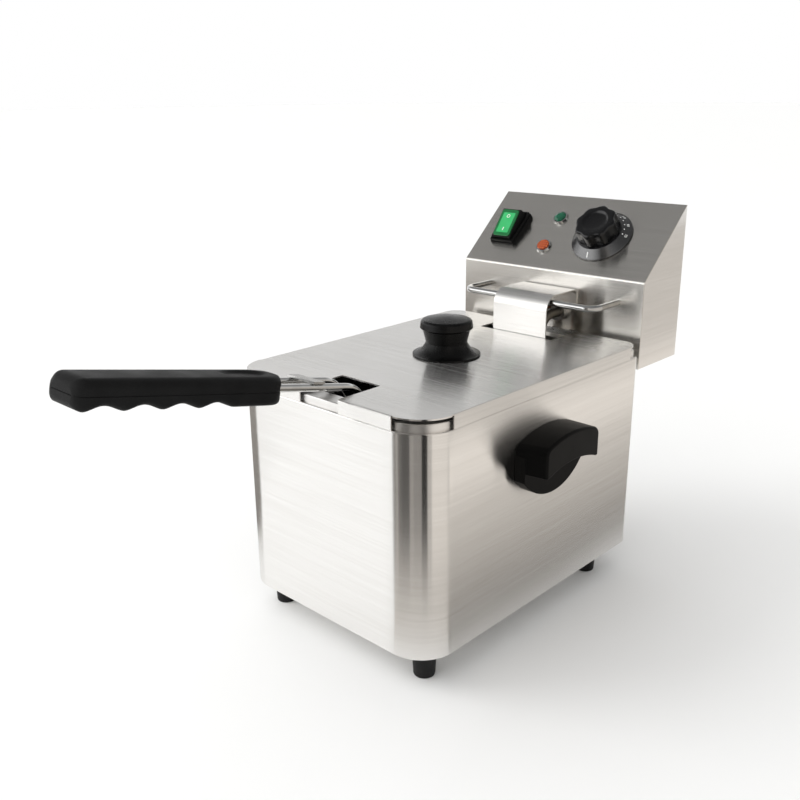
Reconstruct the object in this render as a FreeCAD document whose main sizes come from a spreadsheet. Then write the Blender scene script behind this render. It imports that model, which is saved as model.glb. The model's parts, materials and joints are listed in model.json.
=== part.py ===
import FreeCAD, Part
import math
import os
import re
import Sketcher
from FreeCAD import Placement, Rotation, Vector

# A countertop deep fryer of brushed steel: a casing with a lift-out oil tank, a control head that
# hooks on behind it with the heating element, a wire basket with a moulded grip, and a loose lid.
# Millimetres. +X is the right-hand side, +Y the rear and +Z up. Within each piece, y is measured
# from the casing's front face and z from the table; the whole is then centred on its own box.

SIZES = {
    "sheet": (1.0, "thickness of the formed steel"),
    "fit_gap": (0.3, "clearance between pieces that come apart"),
    "close_gap": (0.1, "clearance round a pin or screw"),
    "housing_width": (180.0, "casing width"),
    "housing_depth": (243.0, "casing depth"),
    "housing_height": (152.5, "casing height above its feet"),
    "front_radius": (26.5, "casing front corners"),
    "rear_radius": (8.0, "casing rear corners"),
    "foot_height": (22.0, "foot height"),
    "foot_diameter": (17.0, "foot diameter at the top"),
    "foot_taper": (1.2, "how much less the foot's radius is at the table"),
    "foot_recess": (10.0, "diameter of the screw recess in a foot"),
    "foot_side_inset": (20.0, "foot centre from the casing's side"),
    "foot_front_inset": (22.0, "front foot centre from the casing's front"),
    "foot_rear_inset": (29.0, "rear foot centre from the casing's rear"),
    "screw_diameter": (4.0, "casing screws"),
    "screw_head": (7.5, "casing screw heads"),
    "screw_head_height": (2.4, "casing screw head height"),
    "screw_past": (4.0, "screw ends past the plate they hold"),
    "vent_length": (60.0, "air slots in the base"),
    "vent_width": (5.0, "width of an air slot"),
    "vent_pitch": (16.0, "spacing of the air slots"),
    "handle_width": (67.0, "side handle width at the casing"),
    "handle_front_width": (60.5, "side handle width at its front band"),
    "handle_depth": (23.0, "side handle reach"),
    "handle_base": (8.0, "side handle base thickness"),
    "handle_wall": (3.0, "side handle hood wall"),
    "handle_low": (84.0, "lowest point of the handle base above the casing's bottom edge"),
    "handle_side_low": (100.0, "where the handle base starts to round in"),
    "hood_low": (106.0, "lower edge of the hood"),
    "hood_shoulder": (124.0, "where the hood's arch starts"),
    "hood_peak": (131.0, "top of the hood's arch"),
    "hood_round": (6.0, "rounding of the hood's shoulders"),
    "hood_edge": (2.0, "rounding of the hood's front edge"),
    "band_arch": (5.0, "rise of the front band's lower edge"),
    "handle_screw_spread": (36.0, "distance between a side handle's two screws"),
    "handle_screw_rise": (101.0, "side handle screws above the casing's bottom edge"),
    "handle_screw_depth": (6.0, "screw hole depth in a side handle"),
    "tank_margin": (14.0, "casing side to tank wall"),
    "tank_gap": (1.0, "tank wall to the casing's top opening"),
    "tank_radius": (20.0, "tank corners"),
    "tank_depth": (125.0, "tank depth below its flange"),
    "tank_floor_radius": (7.0, "rounding between tank floor and walls"),
    "flange_inset": (2.5, "tank flange from the casing's sides"),
    "flange_rise": (5.3, "tank flange above the casing"),
    "lid_lip": (9.3, "height of the lid's turned-down edge"),
    "lid_edge": (0.8, "rounding of the lid's edge"),
    "lid_rear_gap": (2.3, "lid rear edge from the casing's rear"),
    "lid_rear_radius": (13.0, "lid rear corners"),
    "notch_width": (36.0, "lid notch for the basket's rods"),
    "notch_depth": (38.0, "depth of that notch"),
    "rear_notch_width": (68.0, "lid notch round the element cover"),
    "cover_gap": (1.0, "lid notch to the element cover"),
    "knob_y": (124.0, "lid knob from the casing's front"),
    "knob_foot": (49.0, "lid knob flare diameter"),
    "knob_neck": (31.6, "lid knob neck diameter"),
    "knob_cap": (38.2, "lid knob cap diameter"),
    "knob_height": (28.0, "lid knob height"),
    "knob_flare": (9.5, "height of the lid knob's flare"),
    "knob_flare_radius": (11.4, "curve of the lid knob's flare"),
    "knob_crown": (2.0, "dome of the lid knob's cap"),
    "knob_under_cap": (16.0, "height of the underside of the cap"),
    "knob_screw_depth": (14.0, "screw hole depth in the lid knob"),
    "head_gap": (6.0, "casing rear to the head's face"),
    "head_width": (170.6, "control head width"),
    "head_drop": (13.5, "head underside below the casing's top"),
    "face_height": (66.8, "height of the head's upright face"),
    "panel_length": (77.7, "length of the sloped control panel"),
    "panel_angle": (41.9, "slope of the control panel in degrees"),
    "panel_bend": (3.0, "bend between face and slope"),
    "cover_screw_side": (8.0, "rear cover screws from the head's sides"),
    "cover_screw_low": (10.0, "lower rear cover screws above the head's floor"),
    "cover_screw_top": (12.0, "upper rear cover screws below the head's ridge"),
    "hook_width": (60.0, "width of the hook that carries the head"),
    "hook_drop": (4.5, "hook top below the casing's top"),
    "hook_height": (11.0, "depth of the hook's tongue"),
    "hook_flange": (12.0, "height of the flanges that hold hook and bracket"),
    "element_offset": (3.0, "element and cover from the centre line"),
    "cover_width": (50.0, "element cover width"),
    "cover_reach": (42.0, "element cover from the head's face"),
    "cover_rise": (41.5, "element cover top above the casing"),
    "cover_dip": (24.5, "element cover below the casing's top"),
    "cover_bend": (12.0, "element cover bend"),
    "cover_flange": (12.0, "element cover's flange on the head's face"),
    "flange_bend": (4.0, "bend of that flange"),
    "wire_diameter": (5.0, "hanger wire"),
    "hanger_width": (122.0, "hanger wire width"),
    "hanger_reach": (33.5, "hanger wire from the head's face"),
    "hanger_rise": (35.5, "hanger wire above the casing"),
    "hanger_bend": (9.0, "hanger wire bend"),
    "tube_diameter": (8.0, "heating tube"),
    "tube_bend": (13.0, "heating tube bend"),
    "riser_spacing": (20.0, "distance between the tube's two risers"),
    "riser_reach": (27.0, "risers from the head's face"),
    "riser_exit": (21.5, "where the tubes leave the head, above the casing"),
    "tube_inside": (10.0, "heating tube and capillary inside the head"),
    "element_gap": (6.2, "heating tube above the tank floor"),
    "element_side_gap": (20.0, "heating tube from the tank's sides"),
    "element_front_gap": (24.0, "heating tube from the tank's front"),
    "inner_run": (21.0, "inner tube runs from the element's centre line"),
    "inner_rear_gap": (32.0, "rear of the inner loop in front of the risers"),
    "bushing_diameter": (14.0, "tube bushings on the head's face"),
    "bushing_length": (5.0, "length of the bushings"),
    "bulb_diameter": (6.0, "thermostat bulb"),
    "bulb_length": (80.0, "thermostat bulb length"),
    "bulb_front": (22.0, "thermostat bulb in front of the inner loop's rear run"),
    "capillary_diameter": (2.0, "thermostat capillary"),
    "capillary_bend": (5.0, "capillary bend"),
    "capillary_ahead": (8.0, "capillary in front of the risers"),
    "clip_width": (8.0, "bulb clips"),
    "clip_inset": (16.0, "bulb clips from the bulb's ends"),
    "clip_thickness": (1.2, "bulb clip strip"),
    "basket_side_gap": (10.0, "basket to the tank's sides"),
    "basket_front_gap": (20.0, "basket to the tank's front"),
    "basket_rear_gap": (12.0, "basket to the element cover"),
    "rim_drop": (2.5, "basket rim below the casing's top"),
    "rim_diameter": (4.0, "basket rim wire"),
    "rim_bend": (12.0, "basket rim corners"),
    "mesh_wire": (2.0, "basket mesh wire"),
    "mesh_pitch": (15.0, "basket mesh opening and wire"),
    "hanging_hook_wire": (3.5, "basket hook wire"),
    "hanging_hook_gap": (5.6, "opening of the basket hooks"),
    "hanging_hook_spread": (90.0, "distance between the basket hooks"),
    "hanging_hook_leg": (34.0, "length of a basket hook's leg"),
    "hanging_hook_tip": (7.0, "length of a basket hook's tip"),
    "hanging_hook_rise": (2.0, "basket hook bend above the rim"),
    "rod_diameter": (5.0, "basket handle rods"),
    "rod_spacing": (20.0, "distance between the rods"),
    "rod_corner": (8.6, "corner of the rods above the casing's top"),
    "rod_bend": (22.3, "rod bend"),
    "rod_reach": (67.0, "rod corner to the grip"),
    "rod_in_grip": (60.0, "rod length inside the grip"),
    "rod_leg": (78.0, "rod length below its corner"),
    "handle_angle": (12.5, "rise of the basket handle in degrees"),
    "strap_place": (42.5, "rod corner to the cross strap"),
    "strap_width": (9.0, "cross strap width"),
    "strap_thickness": (1.5, "cross strap thickness"),
    "grip_length": (136.0, "basket grip length"),
    "grip_width": (31.4, "basket grip width"),
    "grip_upper": (9.0, "height of the grip's upper half"),
    "grip_lower": (8.0, "height of the grip's lower half"),
    "grip_drop": (1.5, "grip parting plane below the rods"),
    "grip_nose": (6.0, "rounding of the grip's front corners"),
    "grip_top_nose": (7.0, "rounding of the grip's front end, above"),
    "grip_under_nose": (5.5, "rounding of the grip's front end, below"),
    "grip_edge": (3.0, "rounding of the grip's top edge"),
    "hollow_radius": (14.0, "finger hollows"),
    "hollow_depth": (2.9, "depth of the finger hollows"),
    "hollow_pitch": (22.8, "spacing of the finger hollows"),
    "hollow_start": (51.0, "first finger hollow from the grip's rear"),
    "thumb_start": (9.0, "thumb recess from the grip's rear"),
    "thumb_length": (32.0, "thumb recess length"),
    "thumb_width": (18.0, "thumb recess width"),
    "thumb_depth": (1.6, "thumb recess depth"),
    "thumb_round": (8.2, "rounding of the thumb recess"),
    "grip_screw": (3.0, "grip screws"),
    "grip_screw_head": (6.0, "grip screw heads"),
    "grip_screw_inset": (28.0, "rear grip screw from the grip's rear"),
    "switch_x": (-57.5, "switch from the centre line"),
    "switch_up": (36.0, "switch up the slope"),
    "switch_width": (24.0, "switch frame width"),
    "switch_length": (34.0, "switch frame length"),
    "switch_rim": (5.0, "switch frame height"),
    "switch_wall": (1.0, "switch frame wall"),
    "switch_body": (16.0, "switch body behind the panel"),
    "rocker_height": (8.6, "rocker height above its pivot"),
    "rocker_tilt": (11.0, "rocker tilt in degrees"),
    "rocker_pivot": (1.5, "rocker pivot above the panel"),
    "rocker_pin": (2.4, "rocker pivot pins"),
    "rocker_inset": (0.6, "rocker to its frame"),
    "window_inset": (1.0, "rocker edge to its window"),
    "window_height": (1.0, "rocker window"),
    "lamp_x": (-16.5, "lamps from the centre line"),
    "green_up": (52.8, "green lamp up the slope"),
    "orange_up": (22.1, "orange lamp up the slope"),
    "lamp_diameter": (13.5, "lamp bezel"),
    "lamp_hole": (10.0, "lamp body"),
    "lamp_lens": (10.4, "lamp lens"),
    "lamp_height": (2.2, "lamp bezel height"),
    "lens_dome": (1.4, "dome of a lamp lens"),
    "lamp_body": (14.0, "lamp body behind the panel"),
    "dial_x": (30.2, "thermostat knob from the centre line"),
    "dial_up": (38.2, "thermostat knob up the slope"),
    "dial_diameter": (49.6, "dial skirt"),
    "dial_skirt_height": (7.0, "dial skirt height"),
    "dial_rim": (1.6, "upright rim of the dial skirt"),
    "dial_knob": (37.0, "thermostat knob across its lobes"),
    "dial_knob_height": (12.5, "thermostat knob above its skirt"),
    "dial_dish": (2.2, "depth of the dish in the knob's top"),
    "dial_dish_diameter": (24.0, "dish in the knob's top"),
    "dial_edge": (1.6, "rounding of the knob's top"),
    "dial_crown": (4.0, "knob top above its shaft"),
    "shaft_diameter": (6.0, "thermostat shaft"),
    "thermostat_diameter": (34.0, "thermostat body"),
    "thermostat_depth": (18.0, "thermostat body depth"),
    "cutout_x": (-50.0, "reset button from the centre line"),
    "cutout_up": (24.0, "reset button above the head's floor"),
    "cutout_diameter": (18.0, "safety cut-out body"),
    "cutout_depth": (24.0, "safety cut-out body depth"),
    "button_diameter": (8.0, "reset button"),
    "button_length": (4.0, "reset button outside the cover"),
    "button_travel": (2.0, "reset button travel"),
    "gland_x": (52.0, "cable gland from the centre line"),
    "gland_up": (22.0, "cable gland above the head's floor"),
    "gland_bore": (8.0, "cable gland bore"),
    "gland_diameter": (20.0, "cable gland nut"),
    "gland_length": (16.0, "cable gland outside the cover"),
    "gland_wall": (2.0, "cable gland wall"),
    "gland_inside": (6.0, "cable gland inside the cover"),
    "gland_nut": (4.0, "cable gland's lock nut"),
    "block_length": (46.0, "terminal block length"),
    "block_width": (18.0, "terminal block width"),
    "block_height": (15.0, "terminal block height"),
    "block_pole": (6.0, "terminal block openings"),
    "microswitch_length": (20.0, "interlock switch length"),
    "microswitch_height": (10.0, "interlock switch height"),
    "microswitch_depth": (7.0, "interlock switch depth"),
}

VENTS = 5
HOLLOWS = 4
LOBES = 8
POLES = 3
TINY = 1e-3
BEND_SHARE = 0.99

doc = FreeCAD.newDocument("deep_fryer")
sizes = doc.addObject("Spreadsheet::Sheet", "Sizes")
for row, (alias, (value, note)) in enumerate(SIZES.items(), start=1):
    sizes.set(f"A{row}", note)
    sizes.set(f"B{row}", str(value))
    sizes.setAlias(f"B{row}", alias)
SHIFT_CELL = f"B{len(SIZES) + 1}"
sizes.set(SHIFT_CELL, "0")
sizes.setAlias(SHIFT_CELL, "frame_shift")
doc.recompute()

# Levels and planes that several pieces share, as expressions on the sizes
HALF = "(housing_width / 2)"
RIM = "(foot_height + housing_height)"
LID_TOP = f"({RIM} + lid_lip)"
LID_REAR = "(housing_depth - lid_rear_gap)"
FLANGE_TOP = f"({RIM} + flange_rise)"
TANK_UNDER = f"({FLANGE_TOP} - tank_depth)"
TANK_REAR = "(housing_depth - tank_margin)"
HEAD_FRONT = "(housing_depth + head_gap)"
HEAD_FLOOR = f"({RIM} - head_drop)"
HEAD_HALF = "(head_width / 2)"
BEND = f"({HEAD_FLOOR} + face_height)"
COS = "cos(panel_angle * 1 deg)"
SIN = "sin(panel_angle * 1 deg)"
TAN = "tan(panel_angle * 1 deg)"
HEAD_BACK = f"({HEAD_FRONT} + panel_length * {COS})"
RIDGE = f"({BEND} + panel_length * {SIN})"
COVER_FRONT = f"({HEAD_FRONT} - cover_reach)"
COVER_TOP = f"({RIM} + cover_rise)"
RISER_Y = f"({HEAD_FRONT} - riser_reach)"
RISER_Z = f"({RIM} + riser_exit)"
LOOP_REAR = f"({RISER_Y} - inner_rear_gap)"
ELEMENT_Z = f"({TANK_UNDER} + sheet + element_gap + tube_diameter / 2)"
BASKET_HALF = f"({HALF} - tank_margin - basket_side_gap)"
BASKET_FRONT = "(tank_margin + basket_front_gap)"
BASKET_REAR = f"({COVER_FRONT} - basket_rear_gap)"
BASKET_FLOOR = f"({ELEMENT_Z} + tube_diameter / 2 + fit_gap)"
BASKET_TOP = f"({RIM} - rim_drop)"
MESH_TOP = f"({BASKET_TOP} - rim_diameter)"
ROD_Y = f"({BASKET_FRONT} - rod_diameter / 2)"
ROD_Z = f"({RIM} + rod_corner)"
GRIP_END = "(rod_reach + grip_length)"

subparts = {}


def linked(text):
    names = {*SIZES, "frame_shift"}
    return re.sub(r"[a-z_]+", lambda m: f"Sizes.{m[0]}" if m[0] in names else m[0], text)


def number(text):
    return float(sizes.evalExpression(text))


def bind(target, field, text):
    target.setExpression(field, linked(text))


def keep(piece, name):
    piece.Label = name
    subparts[name] = piece
    return piece


def blank(name, x="0", y="0", z="0"):
    body = doc.addObject("PartDesign::Body", name)
    body.AllowCompound = True
    bind(body, "Placement.Base.x", x)
    bind(body, "Placement.Base.y", f"frame_shift + {y}")
    bind(body, "Placement.Base.z", z)
    return body


def piece(name, x="0", y="0", z="0"):
    return keep(blank(name, x, y, z), name)


def turned(body, axis, angle):
    body.Placement.Rotation = Rotation(axis, number(angle))
    bind(body, "Placement.Rotation.Angle", f"({angle}) * 1 deg")
    return body


def on_panel(name, x, up, height="0"):
    y = f"{HEAD_FRONT} + {up} * {COS} - {height} * {SIN}"
    z = f"{BEND} + {up} * {SIN} + {height} * {COS}"
    return turned(piece(name, x, y, z), Vector(1, 0, 0), "panel_angle")


def on_handle(name):
    return turned(piece(name, "0", ROD_Y, ROD_Z), Vector(-1, 0, 0), "handle_angle")


def arc_between(start, end, radius, turn):
    half = (end - start) * 0.5
    rise = math.sqrt(max(radius ** 2 - half.Length ** 2, 0))
    side = Vector(-half.y, half.x, 0).normalize()
    centre = start + half + side * (rise * turn)
    angles = [math.atan2(p.y - centre.y, p.x - centre.x) for p in (start, end)]
    if turn < 0:
        angles.reverse()
    return Part.ArcOfCircle(Part.Circle(centre, Vector(0, 0, 1), radius), *angles)


def draw(sketch, loop):
    # A loop is ("circle", x, y, radius), or corners (x, y) in order; (x, y, radius, turn) makes the
    # side that leaves that corner an arc, with a turn of 1 to the left and -1 to the right
    rules = []

    def pin(geometry, point, x, y):
        rules.append((Sketcher.Constraint("DistanceX", -1, 1, geometry, point, number(x)), x))
        rules.append((Sketcher.Constraint("DistanceY", -1, 1, geometry, point, number(y)), y))

    if loop[0] == "circle":
        _, x, y, radius = loop
        centre = Vector(number(x), number(y), 0)
        side = sketch.addGeometry(Part.Circle(centre, Vector(0, 0, 1), number(radius)))
        pin(side, 3, x, y)
        rules.append((Sketcher.Constraint("Radius", side, number(radius)), radius))
    else:
        corners = [Vector(number(corner[0]), number(corner[1]), 0) for corner in loop]
        sides = []
        for corner, start, end in zip(loop, corners, corners[1:] + corners[:1]):
            if len(corner) == 2:
                sides.append((sketch.addGeometry(Part.LineSegment(start, end)), 1, 2))
            else:
                radius, turn = corner[2:]
                side = sketch.addGeometry(arc_between(start, end, number(radius), turn))
                sides.append((side, 1, 2) if turn > 0 else (side, 2, 1))
                rules.append((Sketcher.Constraint("Radius", side, number(radius)), radius))
        for (side, _, last), (other, first, _) in zip(sides, sides[1:] + sides[:1]):
            sketch.addConstraint(Sketcher.Constraint("Coincident", side, last, other, first))
        for corner, (side, first, _) in zip(loop, sides):
            pin(side, first, corner[0], corner[1])
    for rule, text in rules:
        bind(sketch, f"Constraints[{sketch.addConstraint(rule)}]", text)


def new_sketch(body, plane, at, loops):
    sketch = body.newObject("Sketcher::SketchObject", f"{body.Name}_outline")
    support = next(f for f in body.Origin.OriginFeatures if f.Role == f"{plane}_Plane")
    sketch.AttachmentSupport = [(support, "")]
    sketch.MapMode = "FlatFace"
    bind(sketch, "AttachmentOffset.Base.z", f"-({at})" if plane == "XZ" else at)
    for loop in loops:
        draw(sketch, loop)
    return sketch


def add(body, plane, at, length, *loops):
    # a prism from the plane at that coordinate, towards the positive axis
    pad = body.newObject("PartDesign::Pad", f"{body.Name}_pad")
    pad.Profile = new_sketch(body, plane, at, loops)
    bind(pad, "Length", length)
    pad.Reversed = plane == "XZ"
    return pad


def cut(body, plane, at, length, *loops):
    pocket = body.newObject("PartDesign::Pocket", f"{body.Name}_pocket")
    pocket.Profile = new_sketch(body, plane, at, loops)
    bind(pocket, "Length", length)
    pocket.Reversed = plane != "XZ"
    return pocket


def spin(body, loop):
    # a profile of radius and height turned about the piece's own upright axis
    turn = body.newObject("PartDesign::Revolution", f"{body.Name}_turn")
    turn.Profile = new_sketch(body, "XZ", "0", [loop])
    turn.ReferenceAxis = (turn.Profile[0], ["V_Axis"])
    turn.Angle = 360
    return turn


def round_edges(body, radius, chosen):
    doc.recompute()
    base = body.Tip
    edges = [f"Edge{i}" for i, edge in enumerate(base.Shape.Edges, start=1) if chosen(edge)]
    fillet = body.newObject("PartDesign::Fillet", f"{body.Name}_fillet")
    fillet.Base = (base, edges)
    bind(fillet, "Radius", radius)
    return fillet


def along(edge, axis):
    ends = [vertex.Point for vertex in edge.Vertexes]
    return len(ends) == 2 and abs((ends[1] - ends[0]).normalize().dot(axis)) > 1 - TINY


def level(edge, axis, value):
    return all(abs(vertex.Point.dot(axis) - value) < TINY for vertex in edge.Vertexes)


def rectangle(left, right, low, high):
    return [(left, low), (right, low), (right, high), (left, high)]


def rounded(left, right, low, high, low_radius, high_radius):
    return [
        (f"{left} + {low_radius}", low),
        (f"{right} - {low_radius}", low, low_radius, 1),
        (right, f"{low} + {low_radius}"),
        (right, f"{high} - {high_radius}", high_radius, 1),
        (f"{right} - {high_radius}", high),
        (f"{left} + {high_radius}", high, high_radius, 1),
        (left, f"{high} - {high_radius}"),
        (left, f"{low} + {low_radius}", low_radius, 1),
    ]


def bend_room(points):
    # the widest bend that still leaves some of each straight run between two corners
    turns = [
        (corner - before).getAngle(after - corner)
        for before, corner, after in zip(points, points[1:], points[2:])
    ]
    cuts = [0] + [math.tan(turn / 2) for turn in turns] + [0]
    runs = zip(points, points[1:], cuts, cuts[1:])
    return BEND_SHARE * min((b - a).Length / (cut + next_cut) for a, b, cut, next_cut in runs)


def bent_tube(name, stops, diameter, bend, closed=False):
    # a round wire or tube through the stops, with an arc of one radius at each corner
    points = [Vector(*(number(value) for value in stop)) for stop in stops]
    ring = points[-1:] + points + points[:1]
    radius = min(number(bend), bend_room(ring if closed else points))
    edges = []
    at = points[0] if not closed else (points[-1] + points[0]) * 0.5
    start = at
    corners = list(zip(ring, ring[1:], ring[2:]))
    for before, corner, after in corners if closed else corners[1:-1]:
        inward = (corner - before).normalize()
        outward = (after - corner).normalize()
        angle = inward.getAngle(outward)
        cut_back = radius * math.tan(angle / 2)
        first = corner - inward * cut_back
        last = corner + outward * cut_back
        bisector = (outward - inward).normalize()
        middle = corner + bisector * (radius / math.cos(angle / 2) - radius)
        edges.append(Part.LineSegment(at, first).toShape())
        edges.append(Part.Arc(first, middle, last).toShape())
        at = last
    edges.append(Part.LineSegment(at, start if closed else points[-1]).toShape())
    path = Part.Wire(edges)
    heading = edges[0].tangentAt(edges[0].FirstParameter)
    ring_edge = Part.Circle(start, heading, number(diameter) / 2).toShape()
    tube = path.makePipeShell([Part.Wire(ring_edge)], True, False)
    expected = path.Length * math.pi * (number(diameter) / 2) ** 2
    print(f"{name}: bend {radius:.1f}, volume {tube.Volume / expected:.4f} of section times length")
    return tube


def shaped(name, shape):
    feature = keep(doc.addObject("Part::Feature", name), name)
    feature.Shape = shape
    bind(feature, "Placement.Base.y", "frame_shift")
    return feature


def mesh_panel(name, corner, across, up, thickness):
    # a wire net as one holed plate; the number of openings follows from the pitch
    origin = Vector(*(number(value) for value in corner))
    wire = number("mesh_wire")

    def spacing(span):
        count = max(1, round((span.Length - wire) / number("mesh_pitch")))
        return count, (span.Length - wire) / count

    columns, column = spacing(across)
    rows, line = spacing(up)
    right = Vector(across).normalize()
    rise = Vector(up).normalize()

    def frame(x, y, wide, high):
        low = origin + right * x + rise * y
        stops = [low, low + right * wide, low + right * wide + rise * high, low + rise * high, low]
        return Part.makePolygon(stops)

    holes = [
        frame(wire + i * column, wire + j * line, column - wire, line - wire)
        for i in range(columns) for j in range(rows)
    ]
    face = Part.makeFace([frame(0, 0, across.Length, up.Length)] + holes, "Part::FaceMakerCheese")
    shaped(name, face.extrude(thickness))


# Casing

def side_arch(half_width, rise):
    return f"((({half_width})^2 + ({rise})^2) / (2 * ({rise})))"


def handle_screw_places():
    return [f"housing_depth / 2 {sign} handle_screw_spread / 2" for sign in "-+"]


HANDLE_SCREW_Z = "foot_height + handle_screw_rise"


def foot_places():
    side = f"({HALF} - foot_side_inset)"
    rear = "(housing_depth - foot_rear_inset)"
    return {
        "front_left": (f"-{side}", "foot_front_inset"),
        "front_right": (side, "foot_front_inset"),
        "rear_left": (f"-{side}", rear),
        "rear_right": (side, rear),
    }


def make_housing():
    body = piece("housing")
    outer = rounded(f"-{HALF}", HALF, "0", "housing_depth", "front_radius", "rear_radius")
    inner = rounded(f"-({HALF} - sheet)", f"({HALF} - sheet)", "sheet", "(housing_depth - sheet)",
                    "(front_radius - sheet)", "(rear_radius - sheet)")
    reach = "(tank_margin - sheet - tank_gap)"
    opening = rounded(f"-({HALF} - {reach})", f"({HALF} - {reach})", reach, f"(housing_depth - {reach})",
                      "(tank_radius + sheet + tank_gap)", "(tank_radius + sheet + tank_gap)")
    add(body, "XY", "foot_height", "housing_height - sheet", outer, inner)
    add(body, "XY", f"{RIM} - sheet", "sheet", outer, opening)
    bore = "screw_diameter / 2 + close_gap"
    holes = [("circle", y, HANDLE_SCREW_Z, bore) for y in handle_screw_places()]
    cut(body, "YZ", "-housing_width", "2 * housing_width", *holes)


def make_base_plate():
    body = piece("base_plate")
    edge = "(sheet + close_gap)"
    plate = rounded(f"-({HALF} - {edge})", f"({HALF} - {edge})", edge, f"(housing_depth - {edge})",
                    f"(front_radius - {edge})", f"(rear_radius - {edge})")
    add(body, "XY", "foot_height", "sheet", plate)
    slots = []
    for i in range(VENTS):
        middle = f"(housing_depth / 2 + {i - (VENTS - 1) / 2} * vent_pitch)"
        slots.append(rectangle("-vent_length / 2", "vent_length / 2",
                               f"{middle} - vent_width / 2", f"{middle} + vent_width / 2"))
    holes = [("circle", x, y, "screw_diameter / 2 + close_gap") for x, y in foot_places().values()]
    cut(body, "XY", "foot_height - sheet", "3 * sheet", *slots, *holes)


def make_feet():
    top = "foot_diameter / 2"
    low = "(foot_diameter / 2 - foot_taper)"
    bore = "(screw_diameter / 2 + close_gap)"
    for place, (x, y) in foot_places().items():
        spin(piece(f"foot_{place}", x, y), [
            ("foot_recess / 2", "0"),
            (f"{low} - sheet", "0", "sheet", 1),
            (low, "sheet"),
            (top, "foot_height"),
            (bore, "foot_height"),
            (bore, "foot_height / 2"),
            ("foot_recess / 2", "foot_height / 2"),
        ])
    body = piece("foot_screws")
    heads = [("circle", x, y, "screw_head / 2") for x, y in foot_places().values()]
    shanks = [("circle", x, y, "screw_diameter / 2") for x, y in foot_places().values()]
    add(body, "XY", "foot_height / 2 - screw_head_height", "screw_head_height", *heads)
    add(body, "XY", "foot_height / 2", "foot_height / 2 + screw_past", *shanks)


def make_side_handles():
    body = piece("side_handle_right")
    middle = "housing_depth / 2"

    def arched(half, low, shoulder, peak):
        curve = side_arch(half, f"{peak} - {shoulder}")
        return [
            (f"{middle} - {half}", f"foot_height + {low}"),
            (f"{middle} + {half}", f"foot_height + {low}"),
            (f"{middle} + {half}", f"foot_height + {shoulder}", curve, 1),
            (f"{middle} - {half}", f"foot_height + {shoulder}"),
        ]

    wide, narrow = "handle_width / 2", "handle_front_width / 2"
    front = f"({HALF} + handle_depth)"
    add(body, "YZ", HALF, "handle_depth", arched(wide, "hood_low", "hood_shoulder", "hood_peak"))
    for sign in "-+":
        cut(body, "XY", "foot_height", "housing_height", [
            (HALF, f"{middle} {sign} {wide}"),
            (front, f"{middle} {sign} {narrow}"),
            (front, f"{middle} {sign} {wide}"),
        ])
    low = number("foot_height + hood_low")
    round_edges(body, "hood_round", lambda edge: edge.BoundBox.ZMin > low + 1
                and edge.BoundBox.XLength > 1 and edge.BoundBox.YLength > 1)
    round_edges(body, "hood_edge", lambda edge: level(edge, Vector(1, 0, 0), number(front))
                and edge.BoundBox.ZMax > low + TINY)
    inside = f"({narrow} - handle_wall)"
    below = "hood_low - handle_wall"
    cut(body, "YZ", f"{HALF} + handle_base", "handle_depth - handle_base - handle_wall",
        arched(inside, below, "(hood_shoulder - handle_wall)", "(hood_peak - handle_wall)"))
    cut(body, "YZ", f"{front} - 2 * handle_wall", "3 * handle_wall",
        arched(inside, below, "hood_low", "(hood_low + band_arch)"))
    add(body, "YZ", HALF, "handle_base", [
        (f"{middle} - {wide}", "foot_height + handle_side_low",
         side_arch(wide, "handle_side_low - handle_low"), 1),
        (f"{middle} + {wide}", "foot_height + handle_side_low"),
        (f"{middle} + {wide}", "foot_height + hood_shoulder - hood_round"),
        (f"{middle} - {wide}", "foot_height + hood_shoulder - hood_round"),
    ])
    bore = "screw_diameter / 2 + close_gap"
    holes = [("circle", y, HANDLE_SCREW_Z, bore) for y in handle_screw_places()]
    cut(body, "YZ", f"{HALF} - sheet", "handle_screw_depth + sheet", *holes)
    mirrored = keep(doc.addObject("Part::Mirroring", "side_handle_left"), "side_handle_left")
    mirrored.Source = body
    mirrored.Normal = (1, 0, 0)
    screws = piece("side_handle_screws")
    heads = [("circle", y, HANDLE_SCREW_Z, "screw_head / 2") for y in handle_screw_places()]
    shanks = [("circle", y, HANDLE_SCREW_Z, "screw_diameter / 2") for y in handle_screw_places()]
    inner = f"({HALF} - sheet)"
    add(screws, "YZ", f"{inner} - screw_head_height", "screw_head_height", *heads)
    add(screws, "YZ", inner, "handle_screw_depth", *shanks)
    add(screws, "YZ", f"-{inner}", "screw_head_height", *heads)
    add(screws, "YZ", f"-{inner} - handle_screw_depth", "handle_screw_depth", *shanks)


def make_rear_bracket():
    # an upright lip that stands clear of the casing's back and takes the head's hook
    body = piece("rear_bracket")
    back = "housing_depth"
    top = f"({RIM} - hook_drop)"
    step = f"({top} - hook_height - fit_gap)"
    lip = f"({HEAD_FRONT} - sheet - fit_gap - sheet)"
    profile = [
        (back, f"{step} - hook_flange"),
        (f"{back} + sheet", f"{step} - hook_flange"),
        (f"{back} + sheet", f"{step} - sheet"),
        (f"{lip} + sheet", f"{step} - sheet"),
        (f"{lip} + sheet", top),
        (lip, top),
        (lip, step),
        (back, step),
    ]
    add(body, "YZ", "-hook_width / 2", "hook_width", profile)


# Tank

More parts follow.
